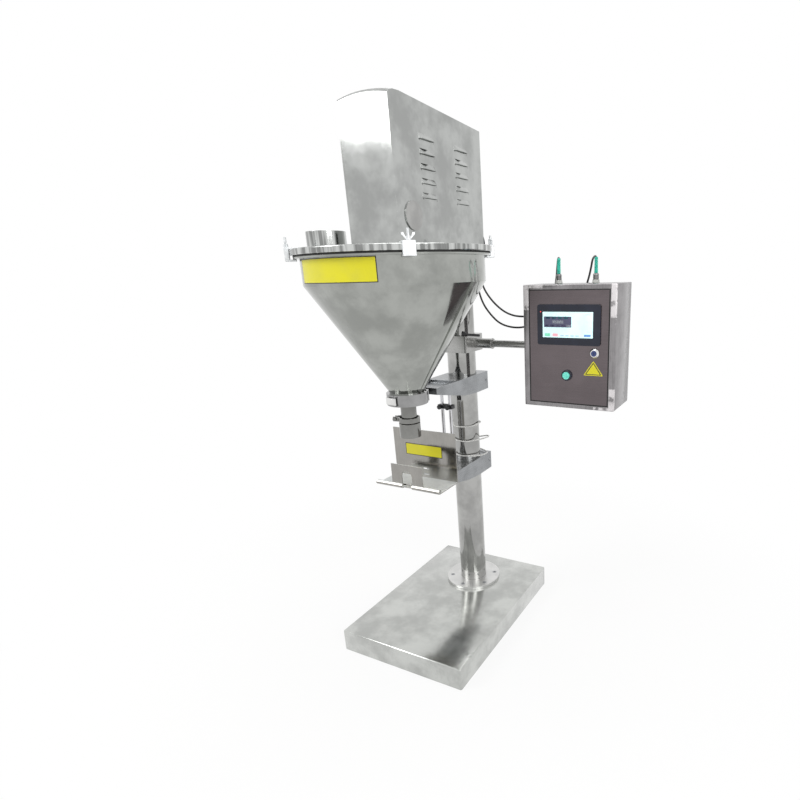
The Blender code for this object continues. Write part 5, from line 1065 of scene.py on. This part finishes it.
# cable glands with spiral guards that bend with the cables
glands = {
    "left": {"x": 0.4010, "cable": "powerCable"}, "right": {"x": 0.5250, "cable": "signalCable"},
    "y": 0.1400, "seat": 1.2683, "foot": 1.2970, "coil": 0.0050, "wire": 0.0015, "pitch": 0.0036,
    "reach": 0.046, "rings": 4, "ringPitch": 0.0042, "sides": 48,
    "nut": ((0.0052, 0.0), (0.0116, 0.0), (0.0120, 0.0010), (0.0120, 0.0024), (0.0110, 0.0030),
            (0.0110, 0.0082), (0.0100, 0.0092), (0.0090, 0.0094), (0.0052, 0.0094)),
    "top": ((0.0084, 0.0266), (0.0072, 0.0284), (0.0060, 0.0288), (0.0050, 0.0286)),
}


def glandBody():
    profile = [(0.0050, 0.0092)]
    for i in range(glands["rings"]):
        z = 0.0094 + i * glands["ringPitch"]
        profile += [(0.0086, z), (0.0094, z + 0.0006), (0.0094, z + 0.0028), (0.0086, z + 0.0034)]
    return turned([*profile, *glands["top"]], glands["sides"])


def spiral(path, radius, wire, pitch, reach, sides=8, steps=14):
    # a coil wound round the last stretch of a cable, slimmer towards its free end
    back, length = [path[-1]], 0.0
    for a, b in zip(path[::-1], path[-2::-1]):
        length += (b - a).length
        back.append(b)
        if length > reach:
            break
    lengths = distances(back)
    points, count, j = [], int(lengths[-1] / pitch * steps), 0
    side = (back[1] - back[0]).normalized().orthogonal().normalized()
    for i in range(count + 1):
        s = lengths[-1] * i / count
        while j < len(back) - 2 and lengths[j + 1] < s:
            j += 1
        span = max(lengths[j + 1] - lengths[j], 1e-9)
        here = back[j].lerp(back[j + 1], (s - lengths[j]) / span)
        ahead = (back[min(j + 2, len(back) - 1)] - back[max(j - 1, 0)]).normalized()
        side = (side - ahead * side.dot(ahead)).normalized()
        other = ahead.cross(side)
        angle = math.tau * s / pitch
        taper = radius * (1 - 0.16 * s / lengths[-1])
        points.append(here + (side * math.cos(angle) + other * math.sin(angle)) * taper)
    return tube(points, wire, sides)


def makeGlands():
    for side in ("left", "right"):
        facts, label = glands[side], side.capitalize()
        seat = (facts["x"], glands["y"], glands["seat"])
        gland = newPiece(f"gland{label}", shifted(glandBody(), seat), "collar", 28)
        carried(gland, "arm", f"cabinet_gland_{side}")
        nut = shifted(turned(glands["nut"], glands["sides"]), seat)
        carried(newPiece(f"glandNut{label}", nut, "glandBody", 28), "arm")
        path = [*cablePaths[facts["cable"]], Vector((facts["x"], glands["y"], glands["foot"]))]
        coil = spiral(path, glands["coil"], glands["wire"], glands["pitch"], glands["reach"])
        carried(newPiece(f"cableGuard{label}", coil, "teal", 60), "arm")
    print("glands fitted")


makeStand()
makeTray()
makeRods()
makeHead()
makeDrives()
makeHopper()
makeArm()
makeCabinet()
makeNotices()
makeScreen()
makeControls()
makeGlands()


# floor, light and surroundings
studio = {
    "floor": 6.0, "floorTints": ((0.88, 0.88, 0.87), (0.92, 0.92, 0.91)),
    "fade": (0.7, 1.7), "nearShare": 0.86,     # the floor turns wholly white between these distances
    "white": (1, 1, 1), "worldStrength": 0.55, "shownStrength": 1.0, "aim": (0.1, 0.0, 1.0),
    "lamps": (
        # name, spot, size and watts
        ("keyLamp", (-2.2, -2.4, 3.2), 1.8, 60),
        ("fillLamp", (2.6, -1.6, 2.4), 1.6, 32),
        ("topLamp", (0.2, 0.3, 4.2), 2.2, 45),
    ),
}


def seenRays(look):
    # one for rays from the camera, and for what metal and glass show
    kinds = ("Is Camera Ray", "Is Glossy Ray", "Is Transmission Ray")
    camera, glossy, clear = (look.add("ShaderNodeLightPath", {}, {}, kind) for kind in kinds)
    return (camera + glossy + clear).clamp()


def makeFloor():
    look = Finish("paleFloor", studio["floorTints"][0], 0.9)
    look.put(**{"Base Color": look.blend(look.noise(30.0, 3), *studio["floorTints"])})
    distance = look.add("ShaderNodeVectorMath", {"operation": "LENGTH"}, [look.place()], "Value")
    share = distance.smooth(*studio["fade"]) * (1 - studio["nearShare"]) + studio["nearShare"]
    glow = look.add("ShaderNodeEmission", {}, {"Color": studio["white"]})
    lit = Tap(look, look.shader.outputs[0])
    mix = look.add("ShaderNodeMixShader", {}, [seenRays(look) * share, lit, glow])
    output = next(node for node in look.tree.nodes if node.type == "OUTPUT_MATERIAL")
    look.feed(output.inputs["Surface"], mix)
    solid = bmesh.new()
    bmesh.ops.create_grid(solid, x_segments=1, y_segments=1, size=studio["floor"])
    floor = newPiece("studioFloor", solid, look.material, smooth=False)


def makeWorld():
    world = bpy.data.worlds.new("studioWorld")
    scene.world = world
    world.use_nodes = True
    sky = Nodes(world.node_tree)
    sky.tree.nodes.clear()
    white = studio["white"]
    lit = sky.add("ShaderNodeBackground", {}, {"Color": white, "Strength": studio["worldStrength"]})
    shown = sky.add("ShaderNodeBackground", {}, {"Color": white, "Strength": studio["shownStrength"]})
    mix = sky.add("ShaderNodeMixShader", {}, [seenRays(sky), lit, shown])
    output = sky.tree.nodes.new("ShaderNodeOutputWorld")
    sky.feed(output.inputs["Surface"], mix)


def makeLamps():
    target = Vector(studio["aim"])
    for name, spot, size, watts in studio["lamps"]:
        data = bpy.data.lights.new(name, "AREA")
        data.size, data.energy = size, watts
        lamp = bpy.data.objects.new(name, data)
        lamp.location = spot
        lamp.rotation_mode = "QUATERNION"
        lamp.rotation_quaternion = (target - Vector(spot)).to_track_quat("-Z", "Y")
        scene.collection.objects.link(lamp)


makeFloor()
makeWorld()
makeLamps()
print("studio lit")
